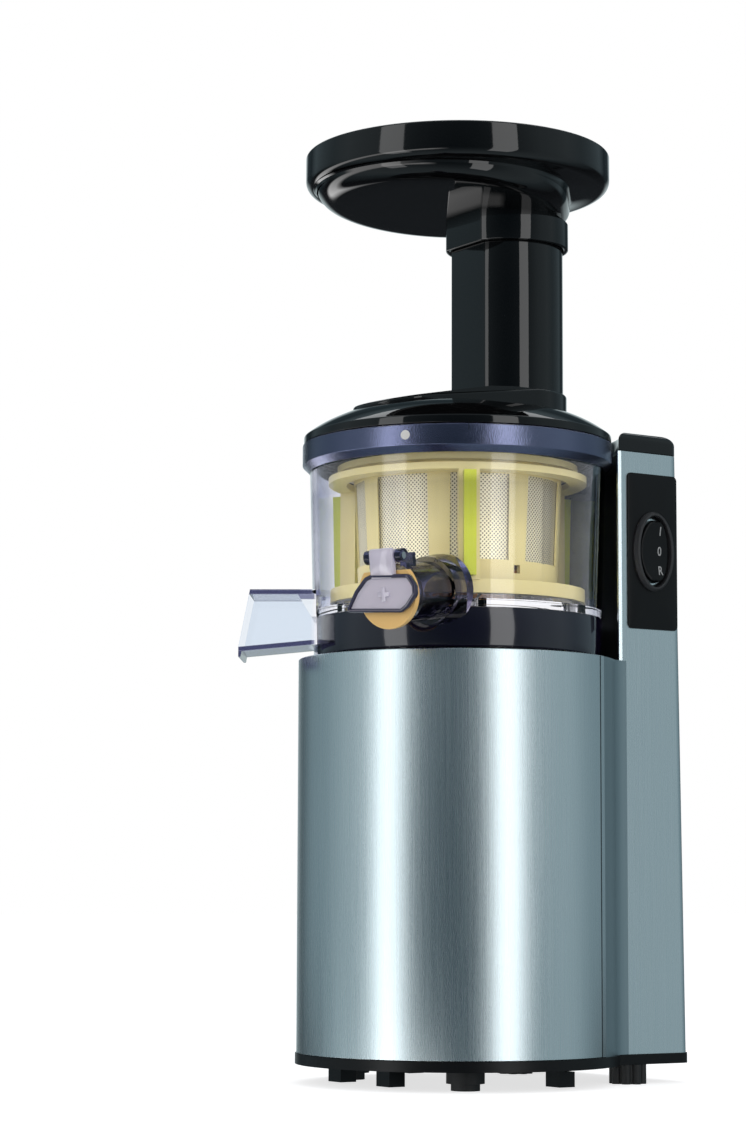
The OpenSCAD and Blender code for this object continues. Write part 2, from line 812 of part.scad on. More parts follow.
module motor_bracket() {
    color("#9a9fa4") difference() {
        union() {
            translate([0, 0, motor_low]) linear_extrude(4) {
                circle(r = 18);
                for (a = [45, 135]) rotate(a) translate([-50, -7]) square([100, 14]);
            }
            translate([0, 0, motor_low - 5]) cylinder(r = 13, h = 7);
        }
        translate([0, 0, motor_low - 4]) cylinder(r = 11 + seat_gap, h = 10);
        translate([0, 0, motor_low - 8]) cylinder(r = rotor_shaft_r + 1, h = 10);
        for (p = bolt_places) translate([p[0], p[1], motor_low - over])
            cylinder(r = bolt_r + seat_gap, h = 6);
    }
}

module motor_bolts() {
    color("#85888c") for (p = bolt_places)
        translate([p[0], p[1], motor_low - 2.6]) screw(bolt_r, case_z - motor_low + 3, 4, 2.6);
}

module rotor_bearings() {
    color("#c4c8cc") {
        translate([0, 0, motor_low - 4 + 0.1]) bearing(11, rotor_shaft_r + run_gap, 7);
        translate([0, 0, case_z - 3]) bearing(11, rotor_shaft_r + run_gap, 6.9);
    }
}

module rotor() {
    color("#7d8186") {
        translate([0, 0, stack_low - 1]) cylinder(r = rotor_r, h = stack_h + 2);
        translate([0, 0, motor_low - 3.5]) cylinder(r = rotor_shaft_r, h = stage_1 - motor_low + 3.5);
        translate([0, 0, stage_1]) rotate([0, 0, lay_1]) gear(pinion_1, m1, 8);
    }
}

module motor_fan() {
    fan_h = 8;
    fan_z = stack_top + 12;
    color("#2b2b2e") translate([0, 0, fan_z]) difference() {
        union() {
            cylinder(r = 9, h = fan_h);
            cylinder(r = 36, h = 1.6);
            for (a = [0 : 36 : 324]) rotate([0, 0, a]) translate([8, -0.8, 0]) cube([28, 1.6, fan_h]);
        }
        translate([0, 0, -over]) cylinder(r = rotor_shaft_r + seat_gap, h = 12);
    }
}

// ---------------------------------------------------------------- gearbox

module gearbox_case() {
    color("#a3a7ab") difference() {
        union() {
            translate([0, 0, case_z]) cylinder(r = case_r, h = case_t);
            translate([0, 0, case_z]) linear_extrude(cover_z - case_z) {
                difference() {
                    circle(r = case_r);
                    circle(r = case_r - case_wall);
                }
                for (a = [0 : 90 : 270]) rotate(a + 60) translate([case_r - 4.5, 0]) circle(r = 3.5);
            }
            translate([0, 0, case_z - 4]) cylinder(r = 14, h = 8);
            for (p = [at_1, at_2]) translate([p[0], p[1], case_z]) cylinder(r = 6, h = case_t + 1);
            for (a = [0 : 90 : 270]) rotate([0, 0, a + 60])
                translate([case_r - 1, -3, case_z]) cube([chassis_in - case_r + 0.7, 6, 3]);
        }
        translate([0, 0, case_z - 4 - over]) cylinder(r = 11 + seat_gap, h = 8 + over);
        translate([0, 0, case_z]) cylinder(r = rotor_shaft_r + 3, h = 10);
        for (p = [at_1, at_2]) translate([p[0], p[1], case_z + 1])
            cylinder(r = lay_pin_r + press_gap, h = 10);
        for (p = bolt_places) translate([p[0], p[1], case_z - over])
            cylinder(r = bolt_r + seat_gap, h = case_t - 0.5 + over);
        for (a = [0 : 90 : 270]) rotate([0, 0, a + 60])
            translate([case_r - 4.5, 0, cover_z - 10]) cylinder(r = 1.6, h = 11);
    }
}

module gearbox_cover() {
    color("#a3a7ab") difference() {
        union() {
            translate([0, 0, cover_z]) cylinder(r = case_r, h = cover_t);
            translate([0, 0, cover_z]) cylinder(r = bearing_r + 3, h = bearing_h + 1.5);
            for (p = [at_1, at_2]) translate([p[0], p[1], cover_z - 1]) cylinder(r = 6, h = 2);
        }
        translate([0, 0, cover_z - over]) cylinder(r = shaft_r + 2, h = 20);
        translate([0, 0, cover_z + 1.5]) cylinder(r = bearing_r + seat_gap, h = 20);
        for (p = [at_1, at_2]) translate([p[0], p[1], cover_z - 3])
            cylinder(r = lay_pin_r + press_gap, h = 6);
        for (a = [0 : 90 : 270]) rotate([0, 0, a + 60])
            translate([case_r - 4.5, 0, cover_z - over]) cylinder(r = 2, h = 10);
    }
}

module gearbox_screws() {
    color("#85888c") for (a = [0 : 90 : 270]) rotate([0, 0, a + 60])
        translate([case_r - 4.5, 0, cover_z + cover_t + 2.2]) rotate([180, 0, 0])
            screw(1.5, 12, 3.2, 2.2);
}

module layshaft_pins() {
    color("#c9ccd0") for (p = [at_1, at_2])
        translate([p[0], p[1], case_z + 1.1]) cylinder(r = lay_pin_r, h = cover_z + 2.8 - case_z - 1.1);
}

module first_cluster_gear() {
    color("#e6e2d6") translate([at_1[0], at_1[1], 0]) difference() {
        union() {
            translate([0, 0, hub_z]) cylinder(r = lay_hub_r, h = hub_h);
            translate([0, 0, stage_1]) rotate([0, 0, lay_1 + 180 - 180 / wheel_1])
                gear(wheel_1, m1, wheel_t);
            translate([0, 0, stage_1 + wheel_t - 0.5]) rotate([0, 0, lay_line])
                gear(pinion_2, m2, 11);
        }
        translate([0, 0, case_z]) cylinder(r = lay_pin_r + run_gap, h = 80);
    }
}

module second_cluster_gear() {
    color("#dcd8ca") translate([at_2[0], at_2[1], 0]) difference() {
        union() {
            translate([0, 0, hub_z]) cylinder(r = lay_hub_r, h = hub_h);
            translate([0, 0, stage_2]) rotate([0, 0, lay_line + 180 - 180 / wheel_2])
                gear(wheel_2, m2, wheel_t);
            translate([0, 0, stage_2 + wheel_t - 0.5]) rotate([0, 0, lay_2 + 180])
                gear(pinion_3, m3, 13.5);
        }
        translate([0, 0, case_z]) cylinder(r = lay_pin_r + run_gap, h = 80);
    }
}

module output_gear() {
    color("#e6e2d6") translate([0, 0, stage_3]) difference() {
        union() {
            rotate([0, 0, lay_2 - 180 / wheel_3]) gear(wheel_3, m3, 9);
            cylinder(r = 12, h = 14);
        }
        translate([0, 0, -over]) cylinder(r = shaft_r + press_gap, h = 20);
    }
}

module drive_shaft() {
    color("#c9ccd0") {
        translate([0, 0, stage_3 - 0.5]) cylinder(r = shaft_r, h = hex_low - stage_3 + 0.5);
        translate([0, 0, hex_low]) cylinder(r = hex_r, h = hex_top - hex_low, $fn = 6);
    }
}

module shaft_bearings() {
    color("#c4c8cc") {
        translate([0, 0, cover_z + 1.6]) bearing(bearing_r, shaft_r + run_gap, bearing_h - 0.2);
        translate([0, 0, deck_z - 4.9]) bearing(bearing_r, shaft_r + run_gap, bearing_h - 0.2);
    }
}

// ---------------------------------------------------------------- bowl

// The juice spout's own frame: +Z outwards along the channel, +X downwards
module at_juice() {
    translate(juice_at) rotate([0, 0, juice_heading]) rotate([0, 90 + juice_fall, 0]) children();
}

// Radius of the bowl's outer wall at a height
function bowl_wall_r(z) = bowl_r - bowl_draft * (1 - (z - bowl_foot) / (bowl_foot + 84 - bowl_foot));

module at_idler(z) rotate([0, 0, idler_angle]) translate([idler_r, 0, z]) children();

module bowl_shell() {
    flange_z = bowl_top - flange_h;
    rotate_extrude() polygon([
        [bowl_wall_r(bowl_foot), bowl_foot],
        [bowl_wall_r(flange_z - 2.7), flange_z - 2.7],
        [flange_r, flange_z],
        [flange_r, bowl_top],
        [counterbore_r, bowl_top],
        [counterbore_r, bowl_top - counterbore_h],
        [bowl_r - bowl_wall, bowl_top - counterbore_h - 2],
        [bowl_wall_r(bed_z) - bowl_wall, bed_z],
        [hub_r - 1, bed_z],
        [hub_r - 1, bed_z + 4.5],
        [shaft_r + 1.5, bed_z + 4.5],
        [shaft_r + 1.5, floor_z],
        [bowl_wall_r(floor_z) - bowl_wall, floor_z],
        [bowl_wall_r(bowl_foot) - bowl_wall, bowl_foot]]);
}

// Curved slot in plan, round the axis at the pulp spout's heading
module kidney(grow, h) {
    rotate([0, 0, pulp_heading]) {
        rotate([0, 0, -kidney_half]) rotate_extrude(angle = 2 * kidney_half)
            translate([kidney_mid - kidney_r - grow, 0]) square([2 * (kidney_r + grow), h]);
        for (s = [-1, 1]) rotate([0, 0, s * kidney_half])
            translate([kidney_mid, 0, 0]) cylinder(r = kidney_r + grow, h = h);
    }
}

// Side view of the pulp spout, length out from the axis against height
module pulp_side(inset) {
    rotate([0, 0, pulp_heading]) translate([0, pulp_w / 2 - inset, 0]) rotate([90, 0, 0])
        linear_extrude(pulp_w - 2 * inset) children();
}

module pulp_outside() {
    root = bowl_wall_r(pulp_floor) - 0.6;
    inner = kidney_mid - kidney_r - 2;
    pulp_side(0) polygon([
        [inner, pulp_floor - spout_wall], [root, pulp_floor - spout_wall],
        [pulp_reach - 1.5, pulp_floor - pulp_drop - spout_wall],
        [pulp_reach - 1, pulp_floor - pulp_drop - spout_wall - 2.5],
        [pulp_reach, pulp_floor - pulp_drop - spout_wall - 2.5],
        [pulp_reach, pulp_floor - pulp_drop],
        [pulp_reach - 5, pulp_roof], [root - 1.2, pulp_roof],
        [root - 1.2, floor_z + 1], [inner, floor_z + 1]]);
}

module pulp_inside() {
    root = bowl_wall_r(pulp_floor) + 0.4;
    inner = kidney_mid - kidney_r;
    pulp_side(spout_wall) polygon([
        [inner, pulp_floor], [root, pulp_floor], [pulp_reach + 2, pulp_floor - pulp_drop - 0.2],
        [pulp_reach + 2, pulp_roof - spout_wall], [root + 6, pulp_roof - spout_wall],
        [root, floor_z], [inner, floor_z]]);
}

module juice_outside() {
    difference() {
        at_juice() {
            translate([0, 0, -8]) cylinder(r = juice_r, h = juice_len + 8);
            translate([0, 0, -8]) cylinder(r1 = collar_r, r2 = collar_r - 1, h = 12);
            translate([0, 0, juice_len - 4]) cylinder(r = juice_r + 0.8, h = 4);
            // ears for the cap's hinge pin
            for (y = [-9.5, 6.5]) {
                translate([-hinge_up, y, hinge_out]) rotate([-90, 0, 0]) cylinder(r = 3, h = 3);
                translate([-hinge_up - 1, y, juice_len - 6]) cube([6, 3, 7]);
            }
        }
        translate([0, 0, bowl_foot - 20]) cylinder(r = bowl_wall_r(juice_z) - 0.8, h = 120);
    }
    // sump under the channel, inside the wall
    intersection() {
        at_juice() translate([0, 0, -22]) cylinder(r = juice_bore_r + spout_wall, h = 22);
        translate([0, 0, bowl_foot]) cylinder(r = bowl_wall_r(juice_z) - 1, h = bed_z - bowl_foot - 0.5);
    }
}

module bowl() {
    color("#8c8cb0", 0.45) difference() {
        union() {
            bowl_shell();
            pulp_outside();
            juice_outside();
            difference() {
                translate([0, 0, bed_z - 0.5])
                    ring(ledge_r + ledge_t, ledge_r, strainer_low - bed_z + 0.5);
                at_idler(bed_z) cylinder(r = bowl_module * idler_teeth / 2 + 3, h = 20);
            }
            translate([0, 0, bed_z - 0.5]) kidney(kidney_wall, strainer_low - bed_z - 0.8);
            difference() {
                translate([0, 0, bed_z - 0.5])
                    ring(brush_out - 2, brush_out - 4, gear_low - bed_z + 0.5 - body_gap);
                at_juice() translate([0, 0, -40]) cylinder(r = juice_bore_r + 2, h = 60);
            }
            at_idler(floor_z - 2) cylinder(r = 6, h = floor_t + 4.4);
        }
        pulp_inside();
        translate([0, 0, pulp_floor + 2]) kidney(0, 40);
        at_juice() translate([0, 0, -22]) cylinder(r = juice_bore_r, h = juice_len + 23);
        at_juice() translate([0, 0, juice_len - 7]) cylinder(r = juice_bore_r + 1.5, h = 9);
        at_juice() translate([-hinge_up, -20, hinge_out]) rotate([-90, 0, 0])
            cylinder(r = hinge_pin_r + press_gap, h = 40);
        at_idler(floor_z - 1) cylinder(r = lay_pin_r + press_gap, h = 20);
        translate([0, 0, bed_z + 1]) ring(shaft_r + 3.2, shaft_r, 2);
    }
}

module bowl_seal() {
    color("#5a4a6a") {
        translate([0, 0, bed_z + 1.05]) ring(shaft_r + 3.1, shaft_r + run_gap, 1.9);
        translate([0, 0, bed_z - 1]) ring(shaft_r + 1.4, shaft_r + run_gap, 5);
    }
}

module pulp_gasket() {
    color("#4d4d55") translate([0, 0, strainer_low - 1.25]) difference() {
        kidney(kidney_wall, 1.1);
        translate([0, 0, -over]) kidney(0, 4);
    }
}

module idler_pin() {
    color("#c9ccd0") at_idler(floor_z - 0.9) cylinder(r = lay_pin_r, h = gear_top - floor_z + 1.5);
}

module idler_gear() {
    color("#efe7cf") at_idler(gear_low) difference() {
        translate([0, 0, 0.4]) rotate([0, 0, 180 - 180 / idler_teeth])
            gear(idler_teeth, bowl_module, gear_t - 1.4);
        translate([0, 0, -over]) cylinder(r = lay_pin_r + run_gap, h = 20);
    }
}

// ---------------------------------------------------------------- strainer

// Outer radius of the strainer at a height
function strainer_wall_r(z) =
    strainer_r + strainer_draft * (z - strainer_low) / (strainer_top - strainer_low);

module strainer_wall(out, inn, low, high) {
    rotate_extrude() polygon([
        [strainer_wall_r(low) - inn, low], [strainer_wall_r(low) - out, low],
        [strainer_wall_r(high) - out, high], [strainer_wall_r(high) - inn, high]]);
}

window_low = strainer_low + 9;
window_high = strainer_top - 8;
window_count = 8;
mesh_lap = 1.4;                        // how far a mesh reaches under the frame

module strainer_windows(grow) {
    for (k = [0 : window_count - 1]) rotate([0, 0, (k + 0.5) * 360 / window_count])
        translate([30, -13 - grow, window_low - grow])
            cube([30, 26 + 2 * grow, window_high - window_low + 2 * grow]);
}

module strainer_frame() {
    rim_t = 3;
    color("#e9dc9a") difference() {
        union() {
            strainer_wall(0, strainer_wall, strainer_low, strainer_top);
            translate([0, 0, strainer_low])
                ring(strainer_r - 0.5, strainer_hole_r, strainer_floor_t);
            translate([0, 0, strainer_top - rim_t])
                ring(strainer_wall_r(strainer_top) + 7, strainer_wall_r(strainer_top) - 1.5, rim_t);
        }
        strainer_windows(0);
        difference() {
            strainer_windows(mesh_lap + 0.2);
            strainer_wall(-5, strainer_wall / 2 - 0.3, strainer_low, strainer_top);
        }
        translate([0, 0, strainer_low - over]) kidney(0, strainer_floor_t + 2 * over);
        for (a = [0 : 60 : 300]) rotate([0, 0, a])
            translate([30, -1.6, strainer_low + 3.4]) cube([30, 3.2, 3.6]);
    }
}

module strainer_mesh() {
    color("#b9bdbf") intersection() {
        strainer_wall(strainer_wall / 2 + 0.1, strainer_wall / 2 + 0.6, window_low - mesh_lap,
            window_high + mesh_lap);
        strainer_windows(mesh_lap);
    }
}

// ---------------------------------------------------------------- brush

module brush_frame() {
    space_low = ring_pitch_r - addendum * bowl_module;
    space_high = ring_pitch_r + dedendum * bowl_module;
    color("#d9d4c4") {
        translate([0, 0, gear_low]) linear_extrude(gear_t) difference() {
            circle(r = brush_out - 1);
            circle(r = space_low);
            rotate(idler_angle)
                polygon(gear_points(ring_teeth, bowl_module, space_low - 1, space_high,
                    backlash * bowl_module / 2));
        }
        translate([0, 0, brush_top - 3]) ring(brush_out, brush_in, 3);
        difference() {
            intersection() {
                union() {
                    for (k = [0 : bar_count - 1]) rotate([0, 0, k * 360 / bar_count + juice_place + 14])
                        translate([brush_in - 3, -bar_w / 2, gear_top - 0.5])
                            cube([20, bar_w, brush_top - 2.5 - gear_top]);
                }
                translate([0, 0, gear_low]) ring(brush_out, brush_in, 100);
            }
            for (k = [0 : bar_count - 1]) rotate([0, 0, k * 360 / bar_count + juice_place + 14])
                translate([brush_in - 5, -wiper_t / 2 - 0.05, gear_top + 1])
                    cube([20, wiper_t + 0.1, brush_top - 5 - gear_top]);
        }
    }
}

module wiper_blades() {
    low = gear_top + 1.1;
    high = brush_top - 4.1;
    color("#cfe24a") for (k = [0 : bar_count - 1]) rotate([0, 0, k * 360 / bar_count + juice_place + 14])
        intersection() {
            union() {
                translate([40, -wiper_t / 2, low]) cube([30, wiper_t, high - low]);
                translate([brush_out + 0.1, -2.6, low]) cube([10, 5.2, high - low]);
            }
            rotate_extrude() polygon([
                [strainer_wall_r(low) + body_gap, low],
                [bowl_wall_r(low) - bowl_wall - body_gap, low],
                [bowl_wall_r(high) - bowl_wall - body_gap, high],
                [strainer_wall_r(high) + body_gap, high]]);
        }
}

// ---------------------------------------------------------------- auger

flight_layers = 56;
flight_points = 36;
flight_share = 0.13;            // share of a turn that each flight's crest takes
flight_starts = 2;

// Radius of the auger's section: v runs 0..1 up the auger, u 0..1 round it
function auger_radius(u, v) =
    let (
        core = core_low_r + (core_top_r - core_low_r) * pow(v, 0.8),
        crest = auger_r + (auger_top_r - auger_r) * v,
        w = abs((u * flight_starts) % 1 - 0.5) * 2,
        edge = 1 - flight_share * 2,
        rise = min(1, max(0, (w - edge + 0.22) / 0.22)),
        fade = min(1, (1 - v) / 0.06))
    core + (crest - core) * rise * rise * (3 - 2 * rise) * fade;

module auger_helix() {
    low = auger_low + auger_disc_t;
    layers = [for (j = [0 : flight_layers]) j / flight_layers];
    n = flight_points;
    points = [
        for (v = layers)
            for (i = [0 : n - 1])
                let (r = auger_radius(i / n, v), a = 360 * i / n + 360 * auger_turns * v)
                [r * cos(a), r * sin(a), low + (auger_high - low) * v]];
    faces = concat(
        [[for (i = [0 : n - 1]) i]],
        [for (j = [0 : flight_layers - 1]) for (i = [0 : n - 1])
            [j * n + i, (j + 1) * n + i, (j + 1) * n + (i + 1) % n]],
        [for (j = [0 : flight_layers - 1]) for (i = [0 : n - 1])
            [j * n + i, (j + 1) * n + (i + 1) % n, j * n + (i + 1) % n]],
        [[for (i = [n - 1 : -1 : 0]) flight_layers * n + i]]);
    polyhedron(points = points, faces = faces, convexity = 10);
}

module auger() {
    neck_h = 8;
    color("#e2b23c") difference() {
        union() {
            auger_helix();
            translate([0, 0, auger_high - 0.5])
                cylinder(r1 = core_top_r - 0.5, r2 = pin_r + 1.5, h = neck_h);
            translate([0, 0, auger_high]) cylinder(r = pin_r, h = lid_z + bush_h - 0.2 - auger_high);
        }
        translate([0, 0, auger_low])
            cylinder(r = socket_r + seat_gap, h = socket_top - auger_low + seat_gap);
    }
}

module auger_gear() {
    color("#d6a12c") difference() {
        union() {
            translate([0, 0, gear_low]) rotate([0, 0, idler_angle])
                gear(auger_teeth, bowl_module, gear_t);
            translate([0, 0, gear_top]) cylinder(r = auger_disc_r, h = auger_disc_t - press_gap);
        }
        translate([0, 0, gear_low - over]) cylinder(r = hub_r + 1, h = 5.6);
        translate([0, 0, gear_low]) cylinder(r = socket_r + seat_gap, h = 20);
    }
}

// Steel hexagon socket pressed into the auger's foot
module auger_socket() {
    color("#c9ccd0") difference() {
        translate([0, 0, socket_low]) cylinder(r = socket_r, h = socket_top - socket_low);
        translate([0, 0, gear_low]) cylinder(r = hex_r + 0.2, h = hex_top + 1 - gear_low, $fn = 6);
    }
}

// ---------------------------------------------------------------- juice cap

// Spade-shaped flap, its thumb tab and its knuckle on the hinge pin
module juice_cap() {
    color("#9a9ab8", 0.5) at_juice() difference() {
        union() {
            translate([0, 0, hinge_out + 1.2]) linear_extrude(flap_t) {
                polygon([
                    [-flap_up, -5.3], [1 - flap_up, flap_half - 3], [-3, flap_half],
                    [1, flap_half], [flap_down - 2, flap_half - 4.6], [flap_down, flap_half - 8],
                    [flap_down - 1.5, 1 - flap_tip], [flap_down - 3, -flap_tip],
                    [-2.3, 1.8 - flap_half], [1.2 - flap_up, 7.3 - flap_half]]);
                translate([-hinge_up - 3.5, -tab_half])
                    square([hinge_up + 6 - flap_up, 2 * tab_half]);
            }
            translate([-hinge_up, -tab_half, hinge_out]) rotate([-90, 0, 0])
                cylinder(r = 2.9, h = 2 * tab_half);
        }
        translate([-hinge_up, -10, hinge_out]) rotate([-90, 0, 0])
            cylinder(r = hinge_pin_r + run_gap, h = 20);
    }
}

module juice_plug() {
    color("#e8965a") at_juice() {
        intersection() {
            translate([0, 0, juice_len + body_gap])
                cylinder(r = plug_r, h = hinge_out + 1.1 - juice_len - body_gap);
            translate([6 - hinge_up, -plug_r, juice_len]) cube(2 * plug_r);
        }
        translate([0, 0, juice_len - 2]) cylinder(r = juice_bore_r + 0.6, h = 3);
    }
}

module cap_hinge_pin() {
    color("#c9ccd0") at_juice()
        translate([-hinge_up, -9.4, hinge_out]) rotate([-90, 0, 0]) cylinder(r = hinge_pin_r, h = 18.8);
}

// ---------------------------------------------------------------- lid

module at_tube(z) translate([0, tube_y, z]) children();

// Height of the dome's outside over the axis distance r
function dome_height(r) = dome_z + sqrt(pow(dome_r, 2) - pow(r, 2));

// Points up the dome from radius a in to radius b, lowered by a wall
function dome_arc(a, b, wall) = [
    for (i = [0 : dome_steps])
        let (r = a + (b - a) * i / dome_steps) [r, dome_height(r) - wall]];

module lid() {
    skirt_in = counterbore_r - 3.4;
    color("#0c0c0e") difference() {
        union() {
            rotate_extrude() polygon(concat(
                [[0, lid_z], [lid_r, lid_z]], dome_arc(lid_r, 0, 0)));
            // raised oval round the foot of the feed tube, falling towards the front
            intersection() {
                translate([0, tube_y, lid_z + 4]) rotate([0, 0, 180]) linear_extrude(60)
                    egg(tube_r + boss_grow, 22, tube_y + 30);
                translate([0, tube_y - tube_flat, lid_boss_top]) rotate([10.8, 0, 0])
                    translate([-80, -100, -40]) cube([160, 200, 40]);
                translate([-80, -100, lid_z]) cube([160, 200, lid_boss_top - lid_z]);
            }
            at_tube(lid_z + 8) linear_extrude(tube_top - lid_z - 8) d_shape(tube_r, tube_flat);
            translate([0, 0, bowl_top - counterbore_h + 1])
                ring(counterbore_r - body_gap, skirt_in, lid_z - bowl_top + counterbore_h);
        }
        // hollow under the dome, round the hub and the feed tube
        difference() {
            rotate_extrude() polygon(concat(
                [[lid_hub_r, lid_z - over], [skirt_in, lid_z - over]],
                dome_arc(skirt_in, lid_hub_r, lid_wall)));
            at_tube(lid_z + 5) linear_extrude(30) d_shape(tube_r, tube_flat);
        }
        at_tube(lid_z + 12) linear_extrude(tube_top) d_shape(tube_r - tube_wall, tube_flat - tube_wall);
        intersection() {
            at_tube(lid_z - over) linear_extrude(14) d_shape(tube_r - tube_wall, tube_flat - tube_wall);
            translate([0, 0, lid_z - over]) cylinder(r = chute_foot_r, h = 14);
        }
        translate([0, 0, lid_z - over]) cylinder(r = lid_hub_r - hub_wall, h = bush_h + 0.7 + over);
        translate([-magnet_w / 2 - seat_gap, lid_r - 5.5 - seat_gap, lid_z - over])
            cube([magnet_w + 2 * seat_gap, 3 + 2 * seat_gap, 3.6 + over + seat_gap]);
    }
}

module lid_seal() {
    color("#6a6a70") translate([0, 0, bowl_top - counterbore_h + body_gap])
        ring(counterbore_r - body_gap, counterbore_r - 3, 1 - body_gap);
}

module auger_bush() {
    color("#b8a06a") translate([0, 0, lid_z + 0.2])
        ring(lid_hub_r - hub_wall - 0.05, pin_r + run_gap, bush_h);
}

module lid_magnet() {
    color("#9ea2a6") translate([-magnet_w / 2, lid_r - 5.5, lid_z + 0.6])
        cube([magnet_w, 3, 3]);
}

// ---------------------------------------------------------------- hopper

// Everything above the sloping underside of the trough
module above_slope(z) {
    translate([0, tube_y, z]) rotate([-3, 0, 0]) translate([-100, -150, 0]) cube([200, 300, 100]);
}

module trough(inset) {
    translate([0, trough_y, 0]) egg(trough_r - inset, trough_end_r - inset, tube_y - trough_y);
}

module hopper() {
    rim_r = 5;
    color("#0c0c0e") difference() {
        union() {
            rotate_extrude() polygon(concat(
                [[0, ledge_z], [hopper_r - rim_r, ledge_z]],
                [for (a = [-75 : 15 : 0])
                    [hopper_r - rim_r + rim_r * cos(a), ledge_z + rim_r + rim_r * sin(a)]],
                [[hopper_r, hopper_top - 1], [hopper_r - 1, hopper_top], [0, hopper_top]]));
            intersection() {
                translate([0, 0, tube_top - 10]) linear_extrude(ledge_z - tube_top + 11) trough(0);
                above_slope(tube_top + 1);
            }
            at_tube(tube_top - sleeve_h) linear_extrude(sleeve_h + 14)
                d_shape(sleeve_r, tube_flat + body_gap + sleeve_wall);
        }
        translate([0, 0, ledge_z + hopper_wall]) cylinder(r = hopper_r - hopper_wall, h = hopper_h);
        intersection() {
            translate([0, 0, tube_top - 10]) linear_extrude(60) trough(hopper_wall);
            above_slope(tube_top + 1 + hopper_wall);
        }
        at_tube(tube_top - sleeve_h - over) linear_extrude(sleeve_h + over + body_gap)
            d_shape(tube_r + body_gap, tube_flat + body_gap);
        at_tube(tube_top - sleeve_h) linear_extrude(80) d_shape(tube_r - tube_wall, tube_flat - tube_wall);
    }
}

// ---------------------------------------------------------------- nodes

place() base_plate();
place() rubber_feet();
place() base_screws();
place() front_wrap();
place() column_wrap();
place() drum_chassis();
place() column_frame();
place() column_cap();
place() top_deck();
place() deck_screws();
place() shaft_seal();
place() switch_plate();
place() switch_bezel();
place() switch_body();
place() switch_rocker();
place() stator_core();
place() field_coils();
place() motor_bracket();
place() motor_bolts();
place() rotor_bearings();
place() rotor();
place() motor_fan();
place() gearbox_case();
place() gearbox_cover();
place() gearbox_screws();
place() layshaft_pins();
place() first_cluster_gear();
place() second_cluster_gear();
place() output_gear();
place() drive_shaft();
place() shaft_bearings();
place() control_board();
place() run_capacitor();
place() reed_switch();
place() cord_inlet();
place() wiring_loom();
place() bowl();
place() bowl_seal();
place() pulp_gasket();
place() idler_pin();
place() idler_gear();
place() strainer_frame();
place() strainer_mesh();
place() brush_frame();
place() wiper_blades();
place() auger();
place() auger_gear();
place() auger_socket();
place() juice_cap();
place() juice_plug();
place() cap_hinge_pin();
place() lid();
place() lid_seal();
place() auger_bush();
place() lid_magnet();
place() hopper();
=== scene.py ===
# %% [markdown]
# A cold press juicer, dressed
#
# The measured solids of the juicer are loaded first, as a fixed frame. They carry the
# sizes and the moving bodies. What follows gives them finishes, and makes again, as
# smooth surfaces, the shells whose rolled and rounded edges catch the light: the two
# steel wraps, the gloss black lid and hopper, the caps of column and juice spout, and
# the switch.

import bpy
import numpy as np
from mathutils import Matrix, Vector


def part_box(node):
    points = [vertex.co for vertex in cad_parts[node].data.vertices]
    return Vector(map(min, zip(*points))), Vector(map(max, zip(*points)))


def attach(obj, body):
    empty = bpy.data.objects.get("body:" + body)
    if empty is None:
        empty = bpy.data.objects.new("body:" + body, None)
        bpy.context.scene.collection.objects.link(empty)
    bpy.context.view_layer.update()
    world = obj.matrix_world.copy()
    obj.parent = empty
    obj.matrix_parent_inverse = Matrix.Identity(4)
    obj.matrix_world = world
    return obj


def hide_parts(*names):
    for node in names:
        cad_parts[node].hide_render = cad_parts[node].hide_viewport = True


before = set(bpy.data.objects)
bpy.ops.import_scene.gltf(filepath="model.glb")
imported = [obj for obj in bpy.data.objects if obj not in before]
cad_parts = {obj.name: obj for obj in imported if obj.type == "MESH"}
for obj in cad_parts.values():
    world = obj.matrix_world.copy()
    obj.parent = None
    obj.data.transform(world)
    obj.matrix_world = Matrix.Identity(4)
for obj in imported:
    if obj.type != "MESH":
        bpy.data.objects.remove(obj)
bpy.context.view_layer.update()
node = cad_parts

# %% [markdown]
# Units and the drum's axis
#
# The juicer was drawn in millimetres round the axis of its drum, with the column towards
# +Y. The frame is in metres about the middle of the whole thing, so each point that is
# written below in millimetres from the drum's axis is moved and shrunk once, here. The
# axis runs through the middle of the shaft's seal, which is a plain ring.

# %% Units and the drum's axis
MM = 0.001
seal_low, seal_high = (np.array(corner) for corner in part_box("shaft_seal"))
DRUM_AXIS = (seal_low + seal_high) / 2 / MM * [1, 1, 0]


def placed(points):
    """Millimetres from the drum's axis, turned into metres of the frame: (p + axis) / 1000."""
    return (np.asarray(points, float) + DRUM_AXIS) * MM


print("the drum's axis stands at", DRUM_AXIS.round(3), "mm in the frame")

# %% [markdown]
# The camera
#
# A tall appliance is usually taken from a little above the table with a longish lens, so
# that its verticals stay nearly parallel. The camera stands 1.29 m from the drum's axis,
# low, and looks slightly up and to the left. The three axes of its view are worked out
# from those angles, which is easier to check than a rotation typed by hand.

# %% The camera
def put(name, data):
    """A new object in the scene."""
    made = bpy.data.objects.new(name, data)
    bpy.context.scene.collection.objects.link(made)
    return made


PICTURE = (746, 1127)
FOCUS = 2890.0
STAND = dict(azimuth=55.0, distance=1290.0, height=82.0, axis_x=458.0, horizon=895.0, roll=0.2)


def square_to(forward):
    """Right and up of something that looks along forward and stands level."""
    right = np.cross(forward, [0, 0, 1.0])
    right /= np.linalg.norm(right)
    return right, np.cross(right, forward)


